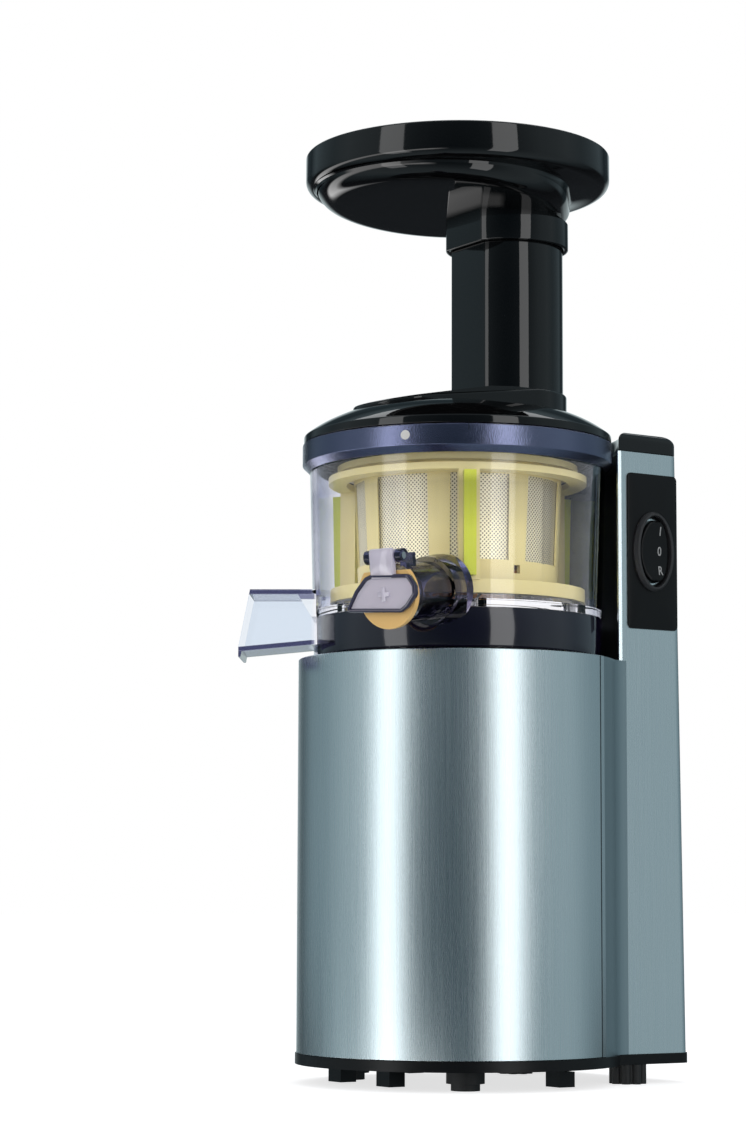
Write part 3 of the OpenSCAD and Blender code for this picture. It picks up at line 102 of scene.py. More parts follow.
def view_axes(stand):
    """Right, up and forward of a camera that looks at the axis from azimuth and distance.

    Yaw is atan((axis_x - middle) / focus), pitch atan((horizon - middle) / focus * cos(yaw)).
    """
    a = np.radians(stand["azimuth"])
    yaw = np.arctan((stand["axis_x"] - PICTURE[0] / 2) / FOCUS)
    pitch = np.arctan((stand["horizon"] - PICTURE[1] / 2) / FOCUS * np.cos(yaw))
    flat = np.array([-np.sin(a), np.cos(a), 0.0])
    c, s = np.cos(yaw), np.sin(yaw)
    flat = np.array([flat[0] * c - flat[1] * s, flat[0] * s + flat[1] * c, 0.0])
    forward = flat * np.cos(pitch) + np.array([0, 0, np.sin(pitch)])
    right, up = square_to(forward)
    r = np.radians(stand["roll"])
    return right * np.cos(r) + up * np.sin(r), up * np.cos(r) - right * np.sin(r), forward


def placed_axes(right, up, forward, spot):
    """The matrix of something at a spot that looks forward, which is along its own -Z."""
    return Matrix([[right[k], up[k], -forward[k], spot[k]] for k in range(3)] + [[0, 0, 0, 1]])


angle = np.radians(STAND["azimuth"])
TO_EYE = np.array([np.sin(angle), -np.cos(angle)])
TO_RIGHT = np.array([np.cos(angle), np.sin(angle)])
eye = placed([*(STAND["distance"] * TO_EYE), STAND["height"]])
right, up, forward = view_axes(STAND)
camera = put("camera", bpy.data.cameras.new("camera"))
camera.matrix_world = placed_axes(right, up, forward, eye)
camera.data.sensor_fit = "VERTICAL"
camera.data.sensor_height = 36.0
camera.data.lens = 36.0 * FOCUS / PICTURE[1]
camera.data.clip_end = 50.0
bpy.context.scene.camera = camera
bpy.context.scene.view_settings.view_transform = "Standard"
print("lens", round(camera.data.lens, 1), "mm, eye at", eye.round(3))

# %% [markdown]
# From numbers to a mesh
#
# Every new piece is a skin: a row of rings, each ring the same number of points. One
# helper joins neighbouring rings with four-sided faces and closes the two ends, or joins
# the last ring to the first one. Whether the faces look outwards is tested with the
# volume that they enclose: a closed skin with a negative volume is inside out, and all
# its faces are turned round.

# %% Skins
def ring_faces(rows, count, looped):
    """Corner numbers of the four-sided faces of a grid of rings that close on themselves."""
    r = np.arange(rows if looped else rows - 1)[:, None]
    n = np.arange(count)[None, :]
    here, there = r * count, (r + 1) % rows * count
    m = (n + 1) % count
    return np.stack([here + n, here + m, there + m, there + n], -1).reshape(-1, 4)


def enclosed(points, parts):
    """Signed volume: the sum over triangles of a . (b x c) / 6."""
    total = 0.0
    for faces in parts:
        p = points[faces]
        for a, b, c in [(0, 1, 2), (0, 2, 3)][: faces.shape[1] - 2]:
            total += np.einsum("ij,ij->", p[:, a], np.cross(p[:, b], p[:, c])) / 6
    return total


def skin_mesh(name, skins, sharp):
    """One mesh from several skins; a skin is (rings, looped), its rings (rows, count, 3) in mm."""
    points, faces, start = [], [], 0
    for rings, looped in skins:
        rings = np.asarray(rings, float)
        rows, count = rings.shape[:2]
        p, q = rings.reshape(-1, 3), ring_faces(rows, count, looped)
        ends = [] if looped else [np.arange(count)[::-1], (rows - 1) * count + np.arange(count)]
        fans = [np.stack([np.full(count - 2, e[0]), e[1:-1], e[2:]], -1) for e in ends]
        if enclosed(p, [q] + fans) < 0:
            q, ends = q[:, ::-1], [e[::-1] for e in ends]
        points.append(p)
        faces += (q + start).tolist() + [(e + start).tolist() for e in ends]
        start += len(p)
    mesh = bpy.data.meshes.new(name)
    mesh.from_pydata(placed(np.vstack(points)).tolist(), [], faces)
    mesh.validate()
    mesh.shade_smooth()
    mesh.set_sharp_from_angle(angle=np.radians(sharp))
    return mesh


def fit(name, skins, body, slot, stands_for=(), sharp=30.0, finish=None):
    """A new piece from its skins, riding on a body and standing for the solids it replaces."""
    piece = put(name, skin_mesh(name, skins, sharp))
    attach(piece, body)
    piece.data.materials.append(finishes[finish or slot])
    if stands_for:
        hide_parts(*stands_for)
    print(name, len(piece.data.polygons), "faces")


# %% [markdown]
# Profiles and outlines
#
# A moulded or pressed edge is never knife-sharp. `softened` rounds each corner of a
# profile by its own radius, and the helpers after it give the outlines that the juicer is
# made of: a circle, a rounded box, a circle with one flat side, and the egg shape round
# two circles. All outlines are given by the direction of their normal, so that two
# different outlines have matching points and can be joined by a smooth skin.

# %% Profiles and outlines
def softened(corners, radii, steps, closed=False):
    """A profile with its corners rounded.

    A corner of turn w and radius r starts r tan(w / 2) before it and ends as far after it;
    the points between lie on the arc about the corner's own centre.
    """
    c = np.asarray(corners, float)
    radii = np.broadcast_to(radii, len(c))
    out = []
    for k in range(len(c)):
        ends = not closed and k in (0, len(c) - 1)
        if ends or radii[k] <= 0:
            out.append(c[k][None])
            continue
        a, b = c[k - 1] - c[k], c[(k + 1) % len(c)] - c[k]
        la, lb = np.linalg.norm(a), np.linalg.norm(b)
        a, b = a / la, b / lb
        half = np.arccos(np.clip(a @ b, -1, 1)) / 2
        reach = min(radii[k] / np.tan(half), 0.49 * la, 0.49 * lb)
        r = reach * np.tan(half)
        middle = c[k] + (a + b) / np.linalg.norm(a + b) * r / np.sin(half)
        u, v = c[k] + a * reach - middle, c[k] + b * reach - middle
        sweep = np.arccos(np.clip(u @ v / (r * r), -1, 1))
        t = np.linspace(0, 1, steps)[:, None]
        out.append(middle + (np.sin((1 - t) * sweep) * u + np.sin(t * sweep) * v) / np.sin(sweep))
    return np.vstack(out)


def unit(a):
    """Unit vectors at the angles a."""
    return np.stack([np.cos(a), np.sin(a)], -1)


def directions(count=160, start=0.0):
    """Unit normals all round."""
    return unit(start + np.linspace(0, 2 * np.pi, count, endpoint=False))


def at_height(outline, z):
    """An outline lifted to a height, or to a height for each of its points."""
    return np.column_stack([outline, np.broadcast_to(z, len(outline))])


def turned(profile, count=160):
    """Rings of a turned shape: each profile point (r, z) becomes the circle of radius r at z."""
    return [at_height(r * directions(count), z) for r, z in profile]


def rounded_box(half_x, half_y, r, count=96):
    """Outline of a box with round corners: the corner's centre plus r times the normal."""
    n = directions(count, np.pi / count)
    return np.sign(n) * [half_x - r, half_y - r] + r * n


def flat_sided(r, flat, corner):
    """Outline of a circle of radius r cut by a flat at +Y, with the two cut corners rounded."""
    n = directions()
    inner_r, inner_flat = r - corner, flat - corner
    chord = np.sqrt(inner_r**2 - inner_flat**2)
    cut = n[:, 1] > inner_flat / inner_r
    on_flat = np.stack([np.sign(n[:, 0]) * chord, np.full(len(n), inner_flat)], -1)
    core = np.where(cut[:, None], on_flat, inner_r * n)
    return core + corner * n


def egg(r_a, place_a, r_b, place_b):
    """Outline round two circles: for each normal, the point of whichever circle reaches further."""
    n = directions()
    p = np.asarray(place_a) + r_a * n
    q = np.asarray(place_b) + r_b * n
    first = np.einsum("ij,ij->i", p, n) >= np.einsum("ij,ij->i", q, n)
    return np.where(first[:, None], p, q)


print("outline helpers ready; a test egg has", len(egg(10, (0, 0), 5, (20, 0))), "points")

# %% [markdown]
# The studio
#
# The juicer stands on a plain pale floor that runs out to white. Steel shows whatever
# stands round it, so the room is what makes it look like steel: dark behind the camera,
# blue-grey at the sides, dark and then pale behind the juicer. Two tall soft boxes, one to
# each side of the camera, draw the two soft upright bands on the drum, and a third lies
# overhead. The lamps give plain white light.
# Mirror rays pass the floor and see the room and the boxes go on below it, so that the
# bands run down the steel at one strength from top to bottom. For mirror rays alone, the
# room is dark low down behind the juicer, as a table in shadow is, and a white card lies
# low on the left: black undersides stay black, with one clear streak of light.

# %% Floor and room
def wire(tree, *joints):
    """Joins nodes; a joint is (node, its output, next node, its input), by name or number."""
    for source, output, target, socket in joints:
        tree.links.new(source.outputs[output], target.inputs[socket])


def node_of(tree, kind, at=None, **values):
    """A new shader node: `at` sets inputs by number, the rest properties or inputs by name."""
    made = tree.nodes.new("ShaderNode" + kind)
    for key, value in values.items():
        if hasattr(made, key):
            setattr(made, key, value)
        else:
            made.inputs[key.replace("_", " ")].default_value = value
    for number, value in (at or {}).items():
        made.inputs[number].default_value = value
    return made


def maths(tree, operation, *operands, **more):
    """A Math node; the operands are its second and third values."""
    return node_of(tree, "Math", dict(enumerate(operands, 1)), operation=operation, **more)


def fraction(tree, start, end):
    """How far a value has come from start to end, kept between 0 and 1."""
    return node_of(tree, "MapRange", From_Min=start, From_Max=end)


def colour_mix(tree, first=None, second=None):
    """A mix of two colours, each given here or joined later."""
    tones = {number: (*tone, 1) for number, tone in ((6, first), (7, second)) if tone}
    return node_of(tree, "Mix", tones, data_type="RGBA")


def ramp(tree, *stops):
    """A colour ramp from (place, colour) stops, in rising order."""
    made = node_of(tree, "ValToRGB")
    row = made.color_ramp.elements
    row[0].position, row[0].color = stops[0][0], (*stops[0][1], 1)
    row[1].position, row[1].color = stops[-1][0], (*stops[-1][1], 1)
    for at, tone in stops[1:-1]:
        row.new(at).color = (*tone, 1)
    return made


def seen_rays(tree):
    """Camera and transmission rays added up, and the node that tells the kinds of ray apart."""
    path = node_of(tree, "LightPath")
    straight = maths(tree, "ADD", use_clamp=True)
    wire(tree, (path, "Is Camera Ray", straight, 0), (path, "Is Transmission Ray", straight, 1))
    return straight, path


CARD_WHITE, FLOOR_GLOW, FLOOR_REACH = 2.5, 0.72, 9.0
world = bpy.data.worlds.new("studio")
bpy.context.scene.world = world
world.use_nodes = True
room = world.node_tree
room.nodes.clear()
place = node_of(room, "TexCoord")
facing = node_of(room, "VectorMath", {1: (*-TO_EYE, 0.0)}, operation="DOT_PRODUCT")
shade = ramp(room, (0.0, (0.035, 0.06, 0.075)), (0.30, (0.31, 0.385, 0.415)), (0.50, (0.34, 0.42, 0.45)),
             (0.64, (0.20, 0.27, 0.30)), (0.84, (0.20, 0.27, 0.30)), (0.90, (0.04, 0.06, 0.07)),
             (0.95, (0.04, 0.06, 0.07)), (0.98, (0.60, 0.70, 0.72)))
half = fraction(room, -1.0, 1.0)
straight, path = seen_rays(room)
apart = node_of(room, "SeparateXYZ")
leftward = node_of(room, "VectorMath", {1: (*-TO_RIGHT, 0.0)}, operation="DOT_PRODUCT")
below = fraction(room, -0.06, -0.2)
behind = fraction(room, 0.6, 0.8)
under = maths(room, "MULTIPLY")
table = colour_mix(room, second=(0.03, 0.035, 0.04))
sill = ramp(room, (0.22, (0, 0, 0)), (0.26, (1, 1, 1)), (0.32, (1, 1, 1)), (0.35, (0, 0, 0)))
level = fraction(room, -1.0, 1.0)
beside = fraction(room, 0.1, 0.3)
sheen = maths(room, "MULTIPLY")
card = colour_mix(room, second=(CARD_WHITE,) * 3)
to_glossy = colour_mix(room, (0.5, 0.5, 0.51))
to_seen = colour_mix(room, second=(1, 1, 1))
glow = node_of(room, "Background", Strength=1.0)
out = node_of(room, "OutputWorld")
wire(room, (place, "Generated", facing, 0), (facing, "Value", half, "Value"), (half, 0, shade, 0),
     (path, "Is Glossy Ray", to_glossy, 0), (place, "Generated", apart, 0),
     (place, "Generated", leftward, 0), (apart, 2, below, "Value"), (half, 0, behind, "Value"),
     (below, 0, under, 0), (behind, 0, under, 1), (under, 0, table, 0), (shade, 0, table, 6),
     (apart, 2, level, "Value"), (level, 0, sill, 0), (leftward, "Value", beside, "Value"),
     (sill, 0, sheen, 0), (beside, 0, sheen, 1), (sheen, 0, card, 0), (table, 2, card, 6),
     (card, 2, to_glossy, 7), (to_glossy, 2, to_seen, 6), (straight, 0, to_seen, 0),
     (to_seen, 2, glow, 0), (glow, 0, out, 0))

floor_mesh = bpy.data.meshes.new("floor")
span = np.array([[-1, -1], [1, -1], [1, 1], [-1, 1]]) * FLOOR_REACH
floor_mesh.from_pydata(np.column_stack([span, np.zeros(4)]).tolist(), [], [(0, 1, 2, 3)])
floor = put("floor", floor_mesh)
pale = bpy.data.materials.new("pale_floor")
pale.use_nodes = True
ground = pale.node_tree
ground.nodes.clear()
paint = node_of(ground, "BsdfDiffuse", {0: (0.62, 0.63, 0.64, 1)})
lit = node_of(ground, "Emission", Strength=FLOOR_GLOW)
both = node_of(ground, "AddShader")
seen = node_of(ground, "MixShader")
straight, _ = seen_rays(ground)
shown = node_of(ground, "OutputMaterial")
wire(ground, (paint, 0, both, 0), (lit, 0, both, 1), (straight, 0, seen, 0), (paint, 0, seen, 1),
     (both, 0, seen, 2), (seen, 0, shown, 0))
floor.visible_glossy = False
floor_mesh.materials.append(pale)
print("floor and room ready")

# %% Lamps
def soft_box(name, bearing, height, reach, size, glow_level, aim=(0, 0, 210)):
    """An area lamp at a bearing from the camera's direction, in degrees to the right.

    Its watts are its brightness times pi times its area, so glow_level is how white it
    shows when a mirror reflects it.
    """
    turn = np.radians(bearing)
    towards = TO_EYE * np.cos(turn) + TO_RIGHT * np.sin(turn)
    spot = placed([*(towards * reach), height])
    look = placed(aim) - spot
    look /= np.linalg.norm(look)
    lamp = bpy.data.lights.new(name, "AREA")
    lamp.shape, lamp.size, lamp.size_y = "RECTANGLE", size[0], size[1]
    lamp.energy = glow_level * np.pi * size[0] * size[1]
    box = put(name, lamp)
    box.matrix_world = placed_axes(*square_to(look), look, spot)
    print(name, round(lamp.energy, 1), "W")


soft_box("left_strip", -49, 230, 1500, (0.50, 2.6), 1.9)
soft_box("right_strip", 35, 230, 1500, (0.50, 2.6), 2.1)
soft_box("top_box", 175, 1500, 500, (1.3, 0.9), 1.3, aim=(0, 0, 330))

# %% [markdown]
# Effects that several finishes share
#
# Three small node groups are built once and used by the materials with their own values:
# the fine grain of moulded plastic, the long scratches of brushed metal, and a thin
# uneven film of dust and fingerprints. Each of them only gives colours and values; the
# shader itself stays in the material.

# %% Node groups
SURFACE = [("Color", "Color"), ("Roughness", "Float"), ("Height", "Float")]


def effect(name, inputs, outputs=SURFACE):
    """An empty group with named sockets, and its two end nodes."""
    tree = bpy.data.node_groups.new(name, "ShaderNodeTree")
    for label, kind, value in inputs:
        socket = tree.interface.new_socket(label, in_out="INPUT", socket_type="NodeSocket" + kind)
        socket.default_value = value
    for label, kind in outputs:
        tree.interface.new_socket(label, in_out="OUTPUT", socket_type="NodeSocket" + kind)
    return tree, tree.nodes.new("NodeGroupInput"), tree.nodes.new("NodeGroupOutput")


def uneven(tree, value, given, share, result):
    """The group's roughness: its given one plus a given share of a value."""
    rough = maths(tree, "MULTIPLY_ADD")
    wire(tree, (value, 0, rough, 0), (given, share, rough, 1), (given, "Roughness", rough, 2),
         (rough, 0, result, "Roughness"))


def moulded_grain():
    """Colour, roughness and height of moulded plastic: soft cloudiness plus a fine grain."""
    tree, given, result = effect(
        "moulded_grain",
        [("Base", "Color", (0.5, 0.5, 0.5, 1)), ("Deep", "Color", (0.4, 0.4, 0.4, 1)),
         ("Grain", "Float", 900.0), ("Roughness", "Float", 0.4), ("Spread", "Float", 0.08)],
    )
    here = node_of(tree, "TexCoord")
    cloud = node_of(tree, "TexNoise", Scale=26.0, Detail=3.0)
    fine = node_of(tree, "TexNoise", Detail=2.0)
    mix = colour_mix(tree)
    less = maths(tree, "SUBTRACT", 0.5)
    wire(tree, (here, "Object", cloud, "Vector"), (here, "Object", fine, "Vector"),
         (given, "Grain", fine, "Scale"), (cloud, 0, mix, 0), (given, "Base", mix, 6),
         (given, "Deep", mix, 7), (cloud, 0, less, 0), (mix, 2, result, "Color"),
         (fine, 0, result, "Height"))
    uneven(tree, less, given, "Spread", result)
    return tree


def brushed_lines():
    """Upright scratches: noise on coordinates that are squeezed a hundredfold along Z."""
    tree, given, result = effect(
        "brushed_lines",
        [("Light", "Color", (0.7, 0.7, 0.7, 1)), ("Dark", "Color", (0.5, 0.5, 0.5, 1)),
         ("Across", "Float", 2200.0), ("Along", "Float", 22.0), ("Roughness", "Float", 0.3),
         ("Spread", "Float", 0.1)],
    )
    here = node_of(tree, "TexCoord")
    scale = node_of(tree, "CombineXYZ")
    stretch = node_of(tree, "VectorMath", operation="MULTIPLY")
    lines = node_of(tree, "TexNoise", Scale=1.0, Detail=4.0, Roughness=0.6)
    cloud = node_of(tree, "TexNoise", Scale=9.0, Detail=2.0)
    soft = maths(tree, "MULTIPLY_ADD", 0.35, 0.32)
    sum_up = maths(tree, "MULTIPLY_ADD", 0.8, use_clamp=True)
    mix = colour_mix(tree)
    wire(tree, (given, "Across", scale, 0), (given, "Across", scale, 1), (given, "Along", scale, 2),
         (here, "Object", stretch, 0), (scale, 0, stretch, 1), (stretch, 0, lines, "Vector"),
         (here, "Object", cloud, "Vector"), (cloud, 0, soft, 0), (lines, 0, sum_up, 0),
         (soft, 0, sum_up, 2), (sum_up, 0, mix, 0), (given, "Dark", mix, 6), (given, "Light", mix, 7),
         (mix, 2, result, "Color"), (lines, 0, result, "Height"))
    uneven(tree, lines, given, "Spread", result)
    return tree


def handling_marks():
    """Roughness with a thin uneven film: a smooth base value lifted where large noise is high."""
    tree, given, result = effect(
        "handling_marks",
        [("Roughness", "Float", 0.1), ("Film", "Float", 0.08), ("Scale", "Float", 14.0)],
        [("Roughness", "Float")],
    )
    here = node_of(tree, "TexCoord")
    smear = node_of(tree, "TexNoise", Detail=5.0, Roughness=0.55, Distortion=0.6)
    sharp = fraction(tree, 0.48, 0.72)
    wire(tree, (here, "Object", smear, "Vector"), (given, "Scale", smear, "Scale"),
         (smear, 0, sharp, "Value"))
    uneven(tree, sharp, given, "Film", result)
    return tree


GRAIN, BRUSHED, MARKS = moulded_grain(), brushed_lines(), handling_marks()
print("effects:", [g.name for g in (GRAIN, BRUSHED, MARKS)])

# %% [markdown]
# Finishes
#
# Every slot of the juicer gets one material, and a few new pieces have one of their own.
# One helper makes the shader with its constant values, a second lays a group into it, and
# a third joins them. After that, each finish is a few lines with its own numbers.

# %% Making a finish
finishes = {}


def start_finish(name, **constants):
    """A material's node tree and its Principled shader, with constant inputs set by name."""
    made = bpy.data.materials.new(name)
    made.use_nodes = True
    shader = made.node_tree.nodes["Principled BSDF"]
    for label, value in constants.items():
        shader.inputs[label.replace("_", " ")].default_value = value
    finishes[name] = made
    return made.node_tree, shader


def lay(tree, group, **values):
    """One of the shared effects, placed in a material with its own values."""
    made = tree.nodes.new("ShaderNodeGroup")
    made.node_tree = group
    for label, value in values.items():
        made.inputs[label].default_value = value
    return made


def drive(tree, shader, tone, rough, strength, distance):
    """One effect gives the shader its colour and bump, another or the same its roughness."""
    bump = node_of(tree, "Bump", Strength=strength, Distance=distance)
    wire(tree, (tone, "Color", shader, "Base Color"), (rough, "Roughness", shader, "Roughness"),
         (tone, "Height", bump, "Height"), (bump, 0, shader, "Normal"))


def plastic(name, base, deep, rough, grain, spread=0.08, bump=0.12, relief=0.0002, **constants):
    """Moulded plastic or rubber: the shared grain drives its colour, roughness and bump."""
    tree, shader = start_finish(name, **constants)
    g = lay(tree, GRAIN, Base=(*base, 1), Deep=(*deep, 1), Grain=grain, Roughness=rough, Spread=spread)
    drive(tree, shader, g, g, bump, relief)


def metal(name, light, dark, rough, across, along, spread=0.1, bump=0.05, **constants):
    """Bare metal: the shared scratches drive its colour, roughness and bump."""
    tree, shader = start_finish(name, Metallic=1.0, **constants)
    g = lay(tree, BRUSHED, Light=(*light, 1), Dark=(*dark, 1), Across=across, Along=along,
            Roughness=rough, Spread=spread)
    drive(tree, shader, g, g, bump, 0.0001)


print("helpers for finishes ready")

# %% [markdown]
# The steel is a satin brushed sheet with its grain upright, which spreads each reflection
# sideways: that is why the soft boxes show as bands without an edge. The mirror-black
# parts are polished moulds with a hard gloss, so they need almost no roughness, only a
# few handling marks. The bowl is smoke-violet clear plastic.

# %% Steel, black and clear finishes
metal("brushed_steel", (0.68, 0.765, 0.79), (0.56, 0.635, 0.66), 0.22, 2600.0, 14.0, 0.1, 0.1,
      Anisotropic=0.55)
# A darker copy of the brushed steel, its base colours about half as bright: painted shade for the hollow
# rounds between drum and column.
metal("painted_shade_steel", (0.34, 0.42, 0.45), (0.27, 0.34, 0.37), 0.3, 2600.0, 14.0, 0.1, 0.1,
      Anisotropic=0.55)
tree, shader = start_finish("gloss_black", IOR=1.45, Coat_Weight=0.15, Coat_Roughness=0.01)
marks = lay(tree, MARKS, Roughness=0.04, Film=0.05, Scale=18.0)
tone = lay(tree, GRAIN, Base=(0.0020, 0.0021, 0.0024, 1), Deep=(0.0034, 0.0034, 0.0038, 1), Grain=700.0)
drive(tree, shader, tone, marks, 0.02, 0.0001)
plastic("satin_black", (0.0030, 0.0032, 0.0038), (0.0045, 0.0048, 0.0055), 0.34, 1400.0, 0.12, 0.1,
        Specular_IOR_Level=0.25)
plastic("dark_inner_plastic", (0.02, 0.02, 0.022), (0.03, 0.03, 0.032), 0.5, 700.0)
plastic("black_rubber", (0.012, 0.012, 0.012), (0.02, 0.02, 0.02), 0.62, 1200.0, 0.1, 0.25)


def from_axis(tree):
    """Object coordinates counted from the drum's axis, whole and taken apart."""
    shift = node_of(tree, "Mapping", Location=tuple(-DRUM_AXIS * MM))
    apart = node_of(tree, "SeparateXYZ")
    wire(tree, (node_of(tree, "TexCoord"), "Object", shift, 0), (shift, 0, apart, 0))
    return shift, apart


SOLE_FALL = 0.0968


def smoke_clear(wall, pulp_duct, juice_duct):
    """Clear plastic whose tint goes by place: the wall, and beyond it the two spouts.

    Where the wall turns away from the eye it is seen along its length and looks deeper,
    and so do the duct's roof and sole, which lie edge-on: z above 214.5 mm, or below 194 mm
    less a fall of 3 mm over the duct's 31.
    Rays from the lamps pass straight through it, so that what stands inside is lit.
    """
    tree, shader = start_finish("smoke_clear", Transmission_Weight=1.0, IOR=1.46)
    g = lay(tree, MARKS, Roughness=0.012, Film=0.04)
    shift, apart = from_axis(tree)
    flat = node_of(tree, "VectorMath", {1: (1, 1, 0)}, operation="MULTIPLY")
    away = node_of(tree, "VectorMath", operation="LENGTH")
    outside = fraction(tree, 0.0655, 0.067)
    low = fraction(tree, 0.262, 0.258)
    side = fraction(tree, 0.010, 0.014)
    spout = maths(tree, "MULTIPLY")
    which = colour_mix(tree, pulp_duct, juice_duct)
    edge = node_of(tree, "LayerWeight", Blend=0.5)
    steep = fraction(tree, 0.40, 0.64)
    deeper = colour_mix(tree, (0.40, 0.44, 0.58), (0.06, 0.065, 0.14))
    tint, whole = colour_mix(tree, wall), colour_mix(tree)
    roof = fraction(tree, 0.2143, 0.2146)
    fallen = maths(tree, "MULTIPLY_ADD", SOLE_FALL)
    sole = fraction(tree, 0.2006, 0.2003)
    rims, in_duct, deep_at = (maths(tree, kind) for kind in ("MAXIMUM", "MULTIPLY", "MAXIMUM"))
    through, result = node_of(tree, "BsdfTransparent"), tree.nodes["Material Output"]
    path = node_of(tree, "LightPath")
    shown = node_of(tree, "MixShader")
    wire(tree, (shift, 0, flat, 0), (flat, 0, away, 0), (away, "Value", outside, "Value"),
         (apart, 2, low, "Value"), (apart, 0, side, "Value"), (outside, 0, spout, 0), (low, 0, spout, 1),
         (side, 0, which, 0), (spout, 0, tint, 0), (which, 2, tint, 7), (edge, "Facing", steep, "Value"),
         (spout, 0, deeper, 0), (apart, 2, roof, "Value"), (away, "Value", fallen, 0),
         (apart, 2, fallen, 2), (fallen, 0, sole, "Value"), (roof, 0, rims, 0), (sole, 0, rims, 1),
         (rims, 0, in_duct, 0), (spout, 0, in_duct, 1), (in_duct, 0, deep_at, 0), (steep, 0, deep_at, 1),
         (deep_at, 0, whole, 0), (tint, 2, whole, 6), (deeper, 2, whole, 7),
         (whole, 2, shader, "Base Color"), (tint, 2, through, 0), (g, "Roughness", shader, "Roughness"),
         (path, "Is Shadow Ray", shown, 0), (shader, 0, shown, 1), (through, 0, shown, 2),
         (shown, 0, result, 0))


smoke_clear((0.965, 0.96, 0.99), (0.84, 0.89, 0.95), (0.20, 0.18, 0.27))
print(sorted(finishes))

# %% [markdown]
# Inside the bowl the parts are coloured by use: a cream strainer frame with a fine
# steel mesh, an amber auger, lime silicone wipers, a peach silicone plug. The mesh is
# far too fine to model hole by hole, so its holes are dark dots in rows.

# %% Plastics, silicones and meshes inside the bowl
plastic("cream_plastic", (0.92, 0.83, 0.40), (0.86, 0.73, 0.28), 0.3, 500.0)
plastic("amber_plastic", (0.92, 0.42, 0.05), (0.84, 0.27, 0.02), 0.25, 300.0, 0.1, 0.1)
plastic("lime_silicone", (0.74, 0.80, 0.03), (0.64, 0.72, 0.02), 0.35, 600.0, 0.1, 0.1)
plastic("peach_silicone", (1.0, 0.66, 0.25), (0.98, 0.60, 0.20), 0.4, 600.0, 0.1, 0.1)
plastic("violet_silicone", (0.10, 0.08, 0.16), (0.07, 0.06, 0.12), 0.4, 600.0)
plastic("white_acetal", (0.78, 0.78, 0.75), (0.70, 0.70, 0.67), 0.35, 700.0)


ROUND_WAVES, UP_WAVES = 160.0, 3500.0


def punched_mesh():
    """Steel sheet full of tiny holes: dark dots where sine waves round and up meet."""
    tree, shader = start_finish("fine_mesh_steel", Metallic=0.6)
    _, apart = from_axis(tree)
    turn = maths(tree, "ARCTAN2")
    round_it, up_it = maths(tree, "MULTIPLY", ROUND_WAVES), maths(tree, "MULTIPLY", UP_WAVES)
    waves = [maths(tree, "SINE") for _ in range(2)]
    cell = maths(tree, "MULTIPLY")
    hole = fraction(tree, 0.22, 0.42)
    dots = colour_mix(tree, second=(0.10, 0.09, 0.05))
    g = lay(tree, BRUSHED, Light=(0.86, 0.81, 0.56, 1), Dark=(0.72, 0.67, 0.44, 1), Roughness=0.36)
    wire(tree, (apart, 1, turn, 0), (apart, 0, turn, 1), (turn, 0, round_it, 0), (apart, 2, up_it, 0),
         (round_it, 0, waves[0], 0), (up_it, 0, waves[1], 0), (waves[0], 0, cell, 0),
         (waves[1], 0, cell, 1), (cell, 0, hole, "Value"), (hole, 0, dots, 0), (g, "Color", dots, 6),
         (dots, 2, shader, "Base Color"), (g, "Roughness", shader, "Roughness"))


punched_mesh()
print("finishes so far:", len(finishes))

# %% [markdown]
# Two places of the bowl aren't clear: the band under the lid is frosted, with a fine
# sparkle where the lamps meet it, and the foot is tinted nearly black. Both are skins a
# tenth of a millimetre outside the wall, with finishes of their own in the same violet.
# The cap of the juice spout is a thinner, paler leaf of it inside a dark thick edge.

# %% Frosted band and dark foot
plastic("frosted_violet", (0.20, 0.22, 0.33), (0.12, 0.13, 0.23), 0.20, 1500.0, 0.14, 0.35, 0.0003,
        Metallic=0.96)
plastic("foot_violet", (0.0045, 0.0035, 0.012), (0.007, 0.005, 0.018), 0.10, 400.0, 0.05, 0.03,
        Coat_Weight=0.6, Coat_Roughness=0.02)
tree, shader = start_finish("lavender_clear", Transmission_Weight=0.35, IOR=1.46, Coat_Weight=0.3)
film = lay(tree, MARKS, Roughness=0.06, Film=0.08, Scale=40.0)
haze = lay(tree, GRAIN, Base=(0.94, 0.90, 1.0, 1), Deep=(0.88, 0.83, 0.98, 1), Grain=600.0)
drive(tree, shader, haze, film, 0.04, 0.0001)
plastic("edge_violet", (0.040, 0.036, 0.075), (0.030, 0.026, 0.060), 0.12, 500.0, 0.05, 0.05, Coat_Weight=0.4)
plastic("printed_grey", (0.36, 0.37, 0.37), (0.32, 0.33, 0.33), 0.5, 600.0)
print("band and foot ready")

# %% [markdown]
# Under the covers sit the motor, its gearbox and the board. They show only with the
# covers off, and each still gets the finish that such a part has: blued core steel,
# enamelled copper, cast aluminium, zinc screws, green board, sintered bronze.

# %% Metals and parts of the drive
metal("machined_steel", (0.62, 0.63, 0.64), (0.48, 0.49, 0.50), 0.28, 900.0, 900.0)
metal("zinc_screws", (0.66, 0.68, 0.70), (0.50, 0.52, 0.55), 0.36, 1200.0, 300.0)
metal("cast_aluminium", (0.60, 0.61, 0.62), (0.44, 0.45, 0.46), 0.48, 420.0, 420.0, 0.15, 0.4)
metal("core_steel", (0.26, 0.28, 0.31), (0.16, 0.18, 0.21), 0.42, 60.0, 3200.0, 0.1, 0.3)
metal("copper_coil", (0.78, 0.36, 0.16), (0.52, 0.20, 0.08), 0.32, 1500.0, 1500.0, 0.1, 0.5)
metal("bronze_bush", (0.60, 0.42, 0.20), (0.42, 0.28, 0.12), 0.42, 900.0, 900.0)
metal("magnet_grey", (0.40, 0.40, 0.42), (0.30, 0.30, 0.32), 0.4, 700.0, 700.0)
plastic("green_board", (0.02, 0.12, 0.05), (0.015, 0.09, 0.04), 0.35, 300.0)
plastic("grey_part", (0.20, 0.21, 0.23), (0.15, 0.16, 0.18), 0.45, 500.0)
